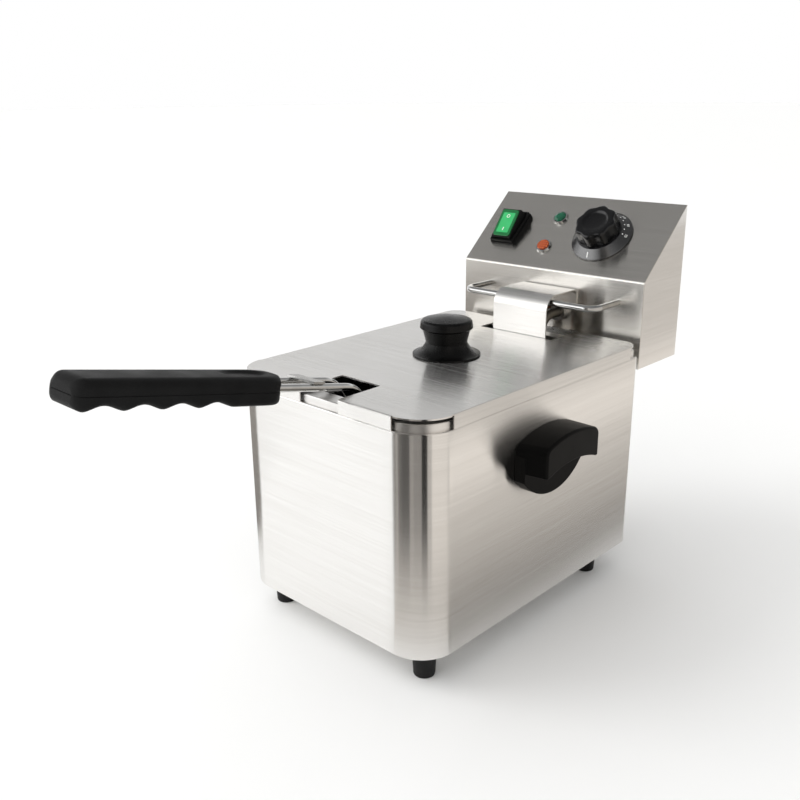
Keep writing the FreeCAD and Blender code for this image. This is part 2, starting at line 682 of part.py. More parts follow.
def make_tank():
    body = piece("oil_tank")
    inside = f"({HALF} - tank_margin)"
    outside = f"({inside} + sheet)"
    outer = rounded(f"-{outside}", outside, "(tank_margin - sheet)", f"({TANK_REAR} + sheet)",
                    "(tank_radius + sheet)", "(tank_radius + sheet)")
    inner = rounded(f"-{inside}", inside, "tank_margin", TANK_REAR, "tank_radius", "tank_radius")
    edge = f"({HALF} - flange_inset)"
    front_round = "(front_radius - flange_inset)"
    rear_round = "(rear_radius - flange_inset)"
    back = "(housing_depth - flange_inset)"
    flange = rounded(f"-{edge}", edge, "flange_inset", back, front_round, rear_round)
    skirt = rounded(f"-({edge} - sheet)", f"({edge} - sheet)", "(flange_inset + sheet)",
                    f"({back} - sheet)", f"({front_round} - sheet)", f"({rear_round} - sheet)")
    add(body, "XY", TANK_UNDER, "sheet", outer)
    add(body, "XY", f"{TANK_UNDER} + sheet", "tank_depth - 2 * sheet", outer, inner)
    add(body, "XY", f"{FLANGE_TOP} - sheet", "sheet", flange, inner)
    add(body, "XY", RIM, "flange_rise - sheet", flange, skirt)
    up = Vector(0, 0, 1)
    floor = number(f"{TANK_UNDER} + sheet")
    half = number(inside)
    front, rear = number("tank_margin"), number(TANK_REAR)

    def inner_floor(edge):
        box = edge.BoundBox
        within = box.YMin > front - TINY and box.YMax < rear + TINY
        return level(edge, up, floor) and abs(box.Center.x) < half + TINY and within

    round_edges(body, "tank_floor_radius - sheet", inner_floor)
    under = number(TANK_UNDER)
    round_edges(body, "tank_floor_radius", lambda edge: level(edge, up, under))


# Control head

def element_x(sign):
    return f"(element_offset {sign} riser_spacing / 2)"


def make_control_panel():
    body = piece("control_panel")
    skin = f"sheet / {COS}"
    profile = [
        (HEAD_FRONT, HEAD_FLOOR),
        (f"{HEAD_FRONT} + sheet", HEAD_FLOOR),
        (f"{HEAD_FRONT} + sheet", f"{BEND} + sheet * {TAN} - {skin}"),
        (HEAD_BACK, f"{RIDGE} - {skin}"),
        (HEAD_BACK, RIDGE),
        (HEAD_FRONT, BEND),
    ]
    add(body, "YZ", f"-{HEAD_HALF}", "head_width", profile)
    front, bend = number(HEAD_FRONT), number(BEND)
    round_edges(body, "panel_bend", lambda edge: level(edge, Vector(0, 1, 0), front)
                and level(edge, Vector(0, 0, 1), bend))
    slope = body.newObject("Sketcher::SketchObject", "control_panel_slope")
    support = next(f for f in body.Origin.OriginFeatures if f.Role == "XY_Plane")
    slope.AttachmentSupport = [(support, "")]
    slope.MapMode = "FlatFace"
    slope.AttachmentOffset = Placement(Vector(), Rotation(Vector(1, 0, 0), number("panel_angle")))
    bind(slope, "AttachmentOffset.Base.y", HEAD_FRONT)
    bind(slope, "AttachmentOffset.Base.z", BEND)
    bind(slope, "AttachmentOffset.Rotation.Angle", "panel_angle * 1 deg")
    wide = "(switch_width / 2 - switch_wall + close_gap)"
    long = "(switch_length / 2 - switch_wall + close_gap)"
    lamp = "(lamp_hole / 2 + close_gap)"
    loops = [
        rectangle(f"switch_x - {wide}", f"switch_x + {wide}",
                  f"switch_up - {long}", f"switch_up + {long}"),
        ("circle", "lamp_x", "green_up", lamp),
        ("circle", "lamp_x", "orange_up", lamp),
        ("circle", "dial_x", "dial_up", "shaft_diameter / 2 + fit_gap"),
    ]
    for loop in loops:
        draw(slope, loop)
    pocket = body.newObject("PartDesign::Pocket", "control_panel_slope_holes")
    pocket.Profile = slope
    bind(pocket, "Length", "2 * sheet")
    holes = [("circle", element_x(sign), RISER_Z, "tube_diameter / 2 + close_gap") for sign in "-+"]
    capillary_z = f"{RISER_Z} + tube_diameter / 4"
    holes.append(("circle", "element_offset", capillary_z, "capillary_diameter / 2 + close_gap"))
    cut(body, "XZ", f"{HEAD_FRONT} - sheet", "3 * sheet", *holes)


def make_head_casing():
    body = piece("head_casing")
    skin = f"sheet / {COS}"
    side = [
        (f"{HEAD_FRONT} + sheet", HEAD_FLOOR),
        (HEAD_BACK, HEAD_FLOOR),
        (HEAD_BACK, f"{RIDGE} - {skin}"),
        (f"{HEAD_FRONT} + sheet", f"{BEND} + sheet * {TAN} - {skin}"),
    ]
    add(body, "YZ", f"-{HEAD_HALF}", "sheet", side)
    add(body, "YZ", f"{HEAD_HALF} - sheet", "sheet", side)
    add(body, "XY", HEAD_FLOOR, "sheet",
        rectangle(f"-{HEAD_HALF}", HEAD_HALF, f"{HEAD_FRONT} + sheet", HEAD_BACK))


def rear_screw_places():
    side = f"({HEAD_HALF} - cover_screw_side)"
    low = f"({HEAD_FLOOR} + cover_screw_low)"
    high = f"({RIDGE} - cover_screw_top)"
    return [(x, z) for x in (f"-{side}", side) for z in (low, high)]


def make_rear_cover():
    body = piece("head_rear_cover")
    edge = f"({HEAD_HALF} - sheet - close_gap)"
    top = f"({RIDGE} - sheet * {TAN} - sheet / {COS} - close_gap)"
    add(body, "XZ", f"{HEAD_BACK} - sheet", "sheet",
        rectangle(f"-{edge}", edge, f"{HEAD_FLOOR} + sheet + close_gap", top))
    holes = [
        ("circle", "gland_x", f"{HEAD_FLOOR} + gland_up", "gland_bore / 2 + gland_wall + close_gap"),
        ("circle", "cutout_x", f"{HEAD_FLOOR} + cutout_up", "button_diameter / 2 + fit_gap"),
    ]
    holes += [("circle", x, z, "grip_screw / 2 + close_gap") for x, z in rear_screw_places()]
    cut(body, "XZ", f"{HEAD_BACK} - 2 * sheet", "3 * sheet", *holes)
    screws = piece("rear_cover_screws")
    heads = [("circle", x, z, "grip_screw_head / 2") for x, z in rear_screw_places()]
    shanks = [("circle", x, z, "grip_screw / 2") for x, z in rear_screw_places()]
    add(screws, "XZ", HEAD_BACK, "screw_head_height", *heads)
    add(screws, "XZ", f"{HEAD_BACK} - screw_past", "screw_past", *shanks)


def make_head_hook():
    body = piece("head_hook")
    top = f"({RIM} - hook_drop)"
    tongue = "(housing_depth + (head_gap - sheet - 2 * sheet - fit_gap) / 2)"
    plate = f"({HEAD_FRONT} - sheet)"
    profile = [
        (tongue, f"{top} - hook_height"),
        (f"{tongue} + sheet", f"{top} - hook_height"),
        (f"{tongue} + sheet", top),
        (HEAD_FRONT, top),
        (HEAD_FRONT, f"{top} + hook_flange"),
        (plate, f"{top} + hook_flange"),
        (plate, f"{top} + sheet"),
        (tongue, f"{top} + sheet"),
    ]
    add(body, "YZ", "-hook_width / 2", "hook_width", profile)


def make_element_cover():
    body = piece("element_cover")
    low = f"({RIM} - cover_dip)"
    inner = "(cover_bend - sheet)"
    profile = [
        (COVER_FRONT, low),
        (f"{COVER_FRONT} + sheet", low),
        (f"{COVER_FRONT} + sheet", f"{COVER_TOP} - cover_bend", inner, -1),
        (f"{COVER_FRONT} + cover_bend", f"{COVER_TOP} - sheet"),
        (f"{HEAD_FRONT} - flange_bend", f"{COVER_TOP} - sheet", "(flange_bend - sheet)", -1),
        (f"{HEAD_FRONT} - sheet", f"{COVER_TOP} - flange_bend"),
        (f"{HEAD_FRONT} - sheet", f"{COVER_TOP} - cover_flange"),
        (HEAD_FRONT, f"{COVER_TOP} - cover_flange"),
        (HEAD_FRONT, f"{COVER_TOP} - flange_bend", "flange_bend", 1),
        (f"{HEAD_FRONT} - flange_bend", COVER_TOP),
        (f"{COVER_FRONT} + cover_bend", COVER_TOP, "cover_bend", 1),
        (COVER_FRONT, f"{COVER_TOP} - cover_bend"),
    ]
    add(body, "YZ", "element_offset - cover_width / 2", "cover_width", profile)


def make_hanger_wire():
    left, right = (f"element_offset {sign} hanger_width / 2" for sign in "-+")
    front = f"{HEAD_FRONT} - hanger_reach"
    z = f"{RIM} + hanger_rise"
    stops = [(left, HEAD_FRONT, z), (left, front, z), (right, front, z), (right, HEAD_FRONT, z)]
    shaped("hanger_wire", bent_tube("hanger_wire", stops, "wire_diameter", "hanger_bend"))


def make_heating_element():
    inside = f"{HEAD_FRONT} + tube_inside"
    front = "tank_margin + element_front_gap"
    side = f"({HALF} - tank_margin - element_side_gap)"

    def half_run(sign):
        return [
            (element_x(sign), inside, RISER_Z),
            (element_x(sign), RISER_Y, RISER_Z),
            (element_x(sign), RISER_Y, ELEMENT_Z),
            (f"{sign}{side}", RISER_Y, ELEMENT_Z),
            (f"{sign}{side}", front, ELEMENT_Z),
            (f"element_offset {sign} inner_run", front, ELEMENT_Z),
            (f"element_offset {sign} inner_run", LOOP_REAR, ELEMENT_Z),
        ]

    stops = half_run("-") + half_run("+")[::-1]
    shaped("heating_element", bent_tube("heating_element", stops, "tube_diameter", "tube_bend"))
    bushings = piece("element_bushings")
    rings = []
    for sign in "-+":
        rings.append(("circle", element_x(sign), RISER_Z, "bushing_diameter / 2"))
        rings.append(("circle", element_x(sign), RISER_Z, "tube_diameter / 2 + close_gap"))
    add(bushings, "XZ", f"{HEAD_FRONT} - bushing_length", "bushing_length", *rings)


def make_thermostat_bulb():
    z = f"({ELEMENT_Z} - tube_diameter / 2 + bulb_diameter / 2)"
    rear = f"({LOOP_REAR} - bulb_front)"
    front = f"({rear} - bulb_length)"
    bulb = piece("thermostat_bulb")
    add(bulb, "XZ", front, "bulb_length", ("circle", "element_offset", z, "bulb_diameter / 2"))
    clips = piece("bulb_clips")
    reach = "(inner_run + tube_diameter / 2)"
    left, right = (f"element_offset {sign} {reach}" for sign in "-+")
    for middle in (f"({front} + clip_inset)", f"({rear} - clip_inset)"):
        add(clips, "XY", f"{ELEMENT_Z} - tube_diameter / 2 - clip_thickness", "clip_thickness",
            rectangle(left, right, f"{middle} - clip_width / 2", f"{middle} + clip_width / 2"))
    low = f"({TANK_UNDER} + sheet + element_gap / 2)"
    riser = f"({RISER_Y} - capillary_ahead)"
    top = f"({RISER_Z} + tube_diameter / 4)"
    stops = [
        ("element_offset", rear, z),
        ("element_offset", f"{rear} + 2 * capillary_bend", z),
        ("element_offset", f"{rear} + 4 * capillary_bend", low),
        ("element_offset", riser, low),
        ("element_offset", riser, top),
        ("element_offset", f"{HEAD_FRONT} + tube_inside", top),
    ]
    shaped("capillary", bent_tube("capillary", stops, "capillary_diameter", "capillary_bend"))


def make_thermostat():
    body = on_panel("thermostat", "dial_x", "dial_up")
    bore = "shaft_diameter / 2 + close_gap"
    add(body, "XY", "-sheet - thermostat_depth", "thermostat_depth",
        ("circle", "0", "0", "thermostat_diameter / 2"))
    cut(body, "XY", "-sheet - thermostat_depth / 2", "thermostat_depth", ("circle", "0", "0", bore))


def make_dial():
    skirt = on_panel("dial_skirt", "dial_x", "dial_up")
    hole = "(shaft_diameter / 2 + close_gap)"
    spin(skirt, [
        (hole, "fit_gap"),
        ("dial_diameter / 2", "fit_gap"),
        ("dial_diameter / 2", "dial_rim"),
        ("dial_knob / 2", "dial_skirt_height - fit_gap"),
        (hole, "dial_skirt_height - fit_gap"),
    ])
    knob = on_panel("thermostat_knob", "dial_x", "dial_up")
    loop = []
    step = math.pi / LOBES
    for i in range(2 * LOBES):
        angle = i * step - step / 2
        radius = "(dial_knob / 2 - dial_edge)"
        corner = (f"{radius} * {math.cos(angle):.6f}", f"{radius} * {math.sin(angle):.6f}")
        bulge = "(dial_knob / 4)" if i % 2 == 0 else "(dial_knob / 3)"
        loop.append(corner + (bulge, 1 if i % 2 == 0 else -1))
    add(knob, "XY", "dial_skirt_height - fit_gap", "dial_knob_height", loop)
    top = number("dial_skirt_height - fit_gap + dial_knob_height")
    round_edges(knob, "dial_edge", lambda edge: level(edge, Vector(0, 0, 1), top))
    dish = knob.newObject("PartDesign::Groove", "thermostat_knob_dish")
    high = "(dial_skirt_height - fit_gap + dial_knob_height)"
    radius = side_arch("dial_dish_diameter / 2", "dial_dish")
    dish.Profile = new_sketch(knob, "XZ", "0", [[
        ("0", f"{high} - dial_dish", radius, 1),
        ("dial_dish_diameter / 2", high),
        ("0", high),
    ]])
    dish.ReferenceAxis = (dish.Profile[0], ["V_Axis"])
    dish.Angle = 360
    cut(knob, "XY", "0", f"{high} - dial_crown", ("circle", "0", "0", hole))
    shaft = on_panel("thermostat_shaft", "dial_x", "dial_up")
    shaft_low = "(-sheet - thermostat_depth / 2 + fit_gap)"
    add(shaft, "XY", shaft_low, f"{high} - dial_crown - fit_gap - {shaft_low}",
        ("circle", "0", "0", "shaft_diameter / 2"))


def make_lamps():
    for colour in ("green", "orange"):
        bezel = on_panel(f"{colour}_lamp", "lamp_x", f"{colour}_up")
        spin(bezel, [
            ("0", "-sheet - lamp_body"),
            ("lamp_hole / 2", "-sheet - lamp_body"),
            ("lamp_hole / 2", "0"),
            ("lamp_diameter / 2", "0"),
            ("lamp_diameter / 2 - lamp_height / 3", "lamp_height"),
            ("lamp_lens / 2 + close_gap / 2", "lamp_height"),
            ("lamp_lens / 2 + close_gap / 2", "lamp_height / 3"),
            ("0", "lamp_height / 3"),
        ])
        lens = on_panel(f"{colour}_lens", "lamp_x", f"{colour}_up")
        spin(lens, [
            ("0", "lamp_height / 3"),
            ("lamp_lens / 2", "lamp_height / 3"),
            ("lamp_lens / 2", "lamp_height", side_arch("lamp_lens / 2", "lens_dome"), 1),
            ("0", "lamp_height + lens_dome"),
        ])


def make_switch():
    frame = on_panel("switch_frame", "switch_x", "switch_up")
    wide, long = "(switch_width / 2)", "(switch_length / 2)"
    inner_wide, inner_long = f"({wide} - 2 * switch_wall)", f"({long} - 2 * switch_wall)"
    outside = rectangle(f"-{wide}", wide, f"-{long}", long)
    through = rectangle(f"-({wide} - switch_wall)", f"({wide} - switch_wall)",
                        f"-({long} - switch_wall)", f"({long} - switch_wall)")
    well = rectangle(f"-{inner_wide}", inner_wide, f"-{inner_long}", inner_long)
    add(frame, "XY", "0", "switch_rim", outside)
    add(frame, "XY", "-sheet - switch_body", "sheet + switch_body", through)
    cut(frame, "XY", "-switch_body / 2", "switch_body / 2 + 2 * switch_rim", well)
    socket = f"({inner_wide} + switch_wall)"
    cut(frame, "YZ", f"-{socket}", f"2 * {socket}",
        ("circle", "0", "rocker_pivot", "rocker_pin / 2 + close_gap"))
    rocker = piece("switch_rocker", "switch_x",
                   f"{HEAD_FRONT} + switch_up * {COS} - rocker_pivot * {SIN}",
                   f"{BEND} + switch_up * {SIN} + rocker_pivot * {COS}")
    turned(rocker, Vector(1, 0, 0), "panel_angle + rocker_tilt")
    half_wide = f"({inner_wide} - rocker_inset)"
    half_long = f"({inner_long} - rocker_inset - rocker_height * tan(rocker_tilt * 1 deg) / 2)"
    add(rocker, "XY", "0", "rocker_height",
        rectangle(f"-{half_wide}", half_wide, f"-{half_long}", half_long))
    pin = f"({socket} - close_gap)"
    add(rocker, "YZ", f"-{pin}", f"2 * {pin}", ("circle", "0", "0", "rocker_pin / 2"))
    window_wide = f"({half_wide} - window_inset)"
    window_long = f"({half_long} - window_inset)"
    window = piece("switch_window", "switch_x",
                   f"{HEAD_FRONT} + switch_up * {COS} - rocker_pivot * {SIN}",
                   f"{BEND} + switch_up * {SIN} + rocker_pivot * {COS}")
    turned(window, Vector(1, 0, 0), "panel_angle + rocker_tilt")
    add(window, "XY", "rocker_height", "window_height",
        rectangle(f"-{window_wide}", window_wide, f"-{window_long}", window_long))


def make_reset():
    z = f"({HEAD_FLOOR} + cutout_up)"
    inner = f"({HEAD_BACK} - sheet)"
    stem = "(button_diameter / 3)"
    body = piece("safety_cutout")
    add(body, "XZ", f"{inner} - cutout_depth", "cutout_depth",
        ("circle", "cutout_x", z, "cutout_diameter / 2"))
    cut(body, "XZ", f"{inner} - cutout_depth / 2", "cutout_depth",
        ("circle", "cutout_x", z, f"{stem} + close_gap"))
    cut(body, "XZ", f"{inner} - button_travel - sheet", "cutout_depth",
        ("circle", "cutout_x", z, "button_diameter / 2 + fit_gap"))
    button = piece("reset_button")
    add(button, "XZ", inner, "sheet + button_length", ("circle", "cutout_x", z, "button_diameter / 2"))
    length = "(cutout_depth / 2 - button_travel - sheet)"
    add(button, "XZ", f"{inner} - {length}", length, ("circle", "cutout_x", z, stem))


def make_head_inside():
    inner = f"({HEAD_BACK} - sheet)"
    z = f"({HEAD_FLOOR} + gland_up)"
    gland = piece("cable_gland")
    bore = ("circle", "gland_x", z, "gland_bore / 2")
    throat = ("circle", "gland_x", z, "gland_bore / 2 + gland_wall")
    add(gland, "XZ", f"{inner} - gland_inside", "gland_inside + sheet", throat, bore)
    nut = ("circle", "gland_x", z, "gland_diameter / 2")
    add(gland, "XZ", HEAD_BACK, "gland_length / 3", nut, bore)
    add(gland, "XZ", f"{HEAD_BACK} + gland_length / 3", "2 * gland_length / 3",
        ("circle", "gland_x", z, "gland_diameter / 2 - gland_wall"), bore)
    add(gland, "XZ", f"{inner} - gland_nut", "gland_nut", nut, bore)
    block = piece("terminal_block")
    floor = f"({HEAD_FLOOR} + sheet)"
    middle = f"(({HEAD_FRONT} + {HEAD_BACK}) / 2)"
    add(block, "XY", floor, "block_height",
        rectangle("-block_length / 2", "block_length / 2",
                  f"{middle} - block_width / 2", f"{middle} + block_width / 2"))
    step = f"block_length / {POLES + 1}"
    high = f"{floor} + block_height / 2"
    places = [f"{i + 1} * {step} - block_length / 2" for i in range(POLES)]
    poles = [("circle", place, high, "block_pole / 2") for place in places]
    cut(block, "XZ", f"{middle} - block_width", "2 * block_width", *poles)
    switch = piece("interlock_switch")
    add(switch, "XY", f"{HEAD_FLOOR} + sheet", "microswitch_height",
        rectangle("-microswitch_length / 2", "microswitch_length / 2", f"{HEAD_FRONT} + sheet",
                  f"{HEAD_FRONT} + sheet + microswitch_depth"))


# Basket

def make_basket():
    half = f"({BASKET_HALF} - mesh_wire)"
    wire = number("mesh_wire")
    width = number(f"2 * {BASKET_HALF}")
    depth = number(f"{BASKET_REAR} - {BASKET_FRONT}")
    low = f"({BASKET_FLOOR} + mesh_wire)"
    height = number(f"{MESH_TOP} - {low}")
    up = Vector(0, 0, height)
    left = f"-{BASKET_HALF}"
    mesh_panel("basket_floor", (left, BASKET_FRONT, BASKET_FLOOR), Vector(width, 0, 0), Vector(0, depth, 0),
               Vector(0, 0, wire))
    for name, x in (("basket_left", left), ("basket_right", half)):
        mesh_panel(name, (x, BASKET_FRONT, low), Vector(0, depth, 0), up, Vector(wire, 0, 0))
    for name, y in (("basket_front", BASKET_FRONT), ("basket_rear", f"{BASKET_REAR} - mesh_wire")):
        mesh_panel(name, (f"-{half}", y, low), Vector(width - 2 * wire, 0, 0), up, Vector(0, wire, 0))
    inset = "rim_diameter / 2"
    x = f"({BASKET_HALF} - {inset})"
    front, rear = f"{BASKET_FRONT} + {inset}", f"{BASKET_REAR} - {inset}"
    z = f"{BASKET_TOP} - {inset}"
    ring = [(f"-{x}", front, z), (x, front, z), (x, rear, z), (f"-{x}", rear, z)]
    shaped("basket_rim", bent_tube("basket_rim", ring, "rim_diameter", "rim_bend", closed=True))


def make_hanging_hooks():
    radius = "((hanging_hook_gap + hanging_hook_wire) / 2)"
    y = f"({BASKET_REAR} + hanging_hook_wire / 2)"
    bend = f"({BASKET_TOP} + hanging_hook_rise)"
    legs = []
    for sign in "-+":
        x = f"{sign}hanging_hook_spread / 2"
        stops = [
            (x, y, f"{bend} - hanging_hook_leg"),
            (x, y, f"{bend} + {radius} - close_gap"),
            (x, f"{y} + 2 * {radius}", f"{bend} + {radius} - close_gap"),
            (x, f"{y} + 2 * {radius}", f"{bend} - hanging_hook_tip"),
        ]
        legs.append(bent_tube(f"hanging hook {sign}", stops, "hanging_hook_wire", f"{radius} - close_gap"))
    shaped("hanging_hooks", Part.makeCompound(legs))


def make_handle_rods():
    reach = "(rod_reach + rod_in_grip)"
    for name, sign in (("handle_rod_left", "-"), ("handle_rod_right", "+")):
        x = f"{sign}rod_spacing / 2"
        ahead, rise = (f"{reach} * {turn}(handle_angle * 1 deg)" for turn in ("cos", "sin"))
        stops = [
            (x, f"{ROD_Y} - {ahead}", f"{ROD_Z} + {rise}"),
            (x, ROD_Y, ROD_Z),
            (x, ROD_Y, f"{ROD_Z} - rod_leg"),
        ]
        shaped(name, bent_tube(name, stops, "rod_diameter", "rod_bend"))
    strap = on_handle("rod_strap")
    side = "(rod_spacing / 2 + rod_diameter / 2)"
    add(strap, "XY", "rod_diameter / 2", "strap_thickness",
        rectangle(f"-{side}", side, "-strap_place - strap_width / 2", "-strap_place + strap_width / 2"))


def grip_outline():
    half = "(grip_width / 2)"
    front = f"(-{GRIP_END})"
    return [
        (f"-({half} - grip_nose)", front),
        (f"{half} - grip_nose", front, "grip_nose", 1),
        (half, f"{front} + grip_nose"),
        (half, f"-rod_reach - {half}", half, 1),
        ("0", "-rod_reach", half, 1),
        (f"-{half}", f"-rod_reach - {half}"),
        (f"-{half}", f"{front} + grip_nose", "grip_nose", 1),
    ]


def hollow_places():
    return [f"-(rod_reach + hollow_start + {i} * hollow_pitch)" for i in range(HOLLOWS)]


def make_grip():
    parting = "(-grip_drop)"
    bottom = f"({parting} - grip_lower)"
    bore = "rod_diameter / 2 + close_gap / 2"
    channels = [("circle", f"{sign}rod_spacing / 2", "0", bore) for sign in "-+"]
    rod_end = "(-rod_reach - rod_in_grip - close_gap)"
    screws = ["(-rod_reach - grip_screw_inset)", hollow_places()[-1]]

    def half(name, low, high, side):
        # the side view with its rounded nose, trimmed to the outline seen from above
        body = on_handle(name)
        add(body, "YZ", "-grip_width / 2", "grip_width", side)
        around = rectangle("-grip_width", "grip_width",
                           f"-{GRIP_END} - grip_width", "grip_width - rod_reach")
        cut(body, "XY", low, f"{high} - {low}", around, grip_outline())
        return body

    front, rear, top = f"(-{GRIP_END})", "(-rod_reach)", f"({parting} + grip_upper)"
    upper = half("grip_upper", parting, top, [
        (front, parting),
        (rear, parting),
        (rear, top),
        (f"{front} + grip_top_nose", top, "grip_top_nose", 1),
        (front, f"{top} - grip_top_nose"),
    ])
    low = number(parting)
    round_edges(upper, "grip_edge", lambda edge: edge.BoundBox.ZMin > low + TINY
                and not along(edge, Vector(1, 0, 0)) and not along(edge, Vector(0, 0, 1)))
    start = "(-rod_reach - thumb_start)"
    oval = rounded("-thumb_width / 2", "thumb_width / 2", f"({start} - thumb_length)", start,
                   "thumb_round", "thumb_round")
    cut(upper, "XY", f"{top} - thumb_depth", "2 * thumb_depth", oval)
    cut(upper, "XZ", rod_end, "rod_in_grip + rod_reach", *channels)
    cut(upper, "XY", f"{parting} - sheet", "grip_upper / 2 + sheet",
        *[("circle", "0", y, "grip_screw / 2") for y in screws])

    lower = half("grip_lower", bottom, parting, [
        (f"{front} + grip_under_nose", bottom),
        (rear, bottom),
        (rear, parting),
        (front, parting),
        (front, f"{bottom} + grip_under_nose", "grip_under_nose", 1),
    ])
    axis = f"({bottom} + hollow_depth - hollow_radius)"
    for y in hollow_places():
        cut(lower, "YZ", "-grip_width", "2 * grip_width", ("circle", y, axis, "hollow_radius"))
    cut(lower, "XZ", rod_end, "rod_in_grip + rod_reach", *channels)
    cut(lower, "XY", bottom, "2 * grip_lower",
        *[("circle", "0", y, "grip_screw / 2 + close_gap") for y in screws])
    seat = f"({parting} - grip_lower / 3)"
    cut(lower, "XY", f"{bottom} - sheet", f"{seat} - {bottom} + sheet",
        *[("circle", "0", y, "grip_screw_head / 2 + close_gap") for y in screws])

    fixings = on_handle("grip_screws")
    add(fixings, "XY", f"{seat} - sheet", "sheet",
        *[("circle", "0", y, "grip_screw_head / 2") for y in screws])
    add(fixings, "XY", seat, f"{parting} - {seat} + grip_upper / 2 - close_gap",
        *[("circle", "0", y, "grip_screw / 2") for y in screws])


# Lid

def make_lid():
    body = piece("lid")
    notch = "notch_width / 2"
    rear = "rear_notch_width / 2"
    rear_edge = f"({COVER_FRONT} - cover_gap)"
    left, right = f"-{HALF}", HALF
    plate = [
        (f"{left} + front_radius", "0"),
        (f"-{notch}", "0"),
        (f"-{notch}", "notch_depth"),
        (notch, "notch_depth"),
        (notch, "0"),
        (f"{right} - front_radius", "0", "front_radius", 1),
        (right, "front_radius"),
        (right, f"{LID_REAR} - lid_rear_radius", "lid_rear_radius", 1),
        (f"{right} - lid_rear_radius", LID_REAR),
        (rear, LID_REAR),
        (rear, rear_edge),
        (f"-{rear}", rear_edge),
        (f"-{rear}", LID_REAR),
        (f"{left} + lid_rear_radius", LID_REAR, "lid_rear_radius", 1),
        (left, f"{LID_REAR} - lid_rear_radius"),
        (left, "front_radius", "front_radius", 1),
    ]
    add(body, "XY", f"{LID_TOP} - sheet", "sheet", plate)
    side_rear = f"{LID_REAR} - lid_rear_radius"
    lips = [
        rectangle(f"{left} + front_radius", f"-{notch}", "0", "sheet"),
        rectangle(notch, f"{right} - front_radius", "0", "sheet"),
        rectangle(left, f"{left} + sheet", "front_radius", side_rear),
        rectangle(f"{right} - sheet", right, "front_radius", side_rear),
    ]
    add(body, "XY", RIM, "lid_lip - sheet", *lips)
    top = number(LID_TOP)
    half = number(HALF)

    def folded(edge):
        box = edge.BoundBox
        on_side = abs(abs(box.Center.x) - half) < TINY and box.XLength < TINY
        on_front = abs(box.YMax) < TINY and box.XLength > 1
        return level(edge, Vector(0, 0, 1), top) and (on_side or on_front)

    round_edges(body, "lid_edge", folded)
    cut(body, "XY", f"{LID_TOP} - 2 * sheet", "3 * sheet",
        ("circle", "0", "knob_y", "screw_diameter / 2 + close_gap"))


def make_lid_knob():
    knob = piece("lid_knob", "0", "knob_y", LID_TOP)
    bore = "(screw_diameter / 2 + close_gap)"
    foot, neck, cap = "(knob_foot / 2)", "(knob_neck / 2)", "(knob_cap / 2)"
    top = f"({cap} - knob_crown)"
    spin(knob, [
        (bore, "0"),
        (foot, "0"),
        (foot, "sheet", "knob_flare_radius", -1),
        (neck, "knob_flare"),
        (f"{neck} + sheet", "knob_under_cap"),
        (f"{cap} - sheet / 2", "knob_under_cap + sheet"),
        (cap, "(knob_under_cap + knob_height) / 2"),
        (top, "knob_height - knob_crown", side_arch(top, "knob_crown"), 1),
        ("0", "knob_height"),
        ("0", "knob_screw_depth"),
        (bore, "knob_screw_depth"),
    ])
    screw = piece("lid_knob_screw", "0", "knob_y", LID_TOP)
    add(screw, "XY", "-sheet - screw_head_height", "screw_head_height",
        ("circle", "0", "0", "screw_head / 2"))
    add(screw, "XY", "-sheet", "sheet + knob_screw_depth - close_gap",
        ("circle", "0", "0", "screw_diameter / 2"))


def check(document):
    for item in document.Objects:
        if {"Invalid", "Error"} & set(item.State):
            raise RuntimeError(f"{item.Label} failed: {item.State}")
    for name, item in subparts.items():
        if item.Shape.isNull() or not item.Shape.isValid() or not item.Shape.Solids:
            raise RuntimeError(f"{name} has no valid solid")


for make in (
    make_housing, make_base_plate, make_feet, make_side_handles, make_rear_bracket, make_tank,
    make_control_panel, make_head_casing, make_rear_cover, make_head_hook, make_element_cover,
    make_hanger_wire, make_heating_element, make_thermostat_bulb, make_thermostat, make_dial,
    make_lamps, make_switch, make_reset, make_head_inside, make_basket, make_hanging_hooks,
    make_handle_rods, make_grip, make_lid, make_lid_knob,
):
    make()
doc.recompute()
check(doc)

# The origin lies on the table under the middle of the whole fryer's box
box = FreeCAD.BoundBox()
for item in subparts.values():
    box.add(item.Shape.optimalBoundingBox(False, False))
sizes.set(SHIFT_CELL, str(-(box.YMin + box.YMax) / 2))
doc.recompute()
check(doc)

os.makedirs("parts", exist_ok=True)
for name, item in subparts.items():
    item.Shape.exportStep(f"parts/{name}.step")
print(f"{len(subparts)} pieces, {box.XLength:.1f} x {box.YLength:.1f} x {box.ZLength:.1f} mm, "
      f"front face at y {-(box.YMin + box.YMax) / 2:.2f}")
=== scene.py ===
import json
from math import cos, pi, radians, sin, sqrt, tan

import bmesh
import bpy
from mathutils import Matrix, Vector

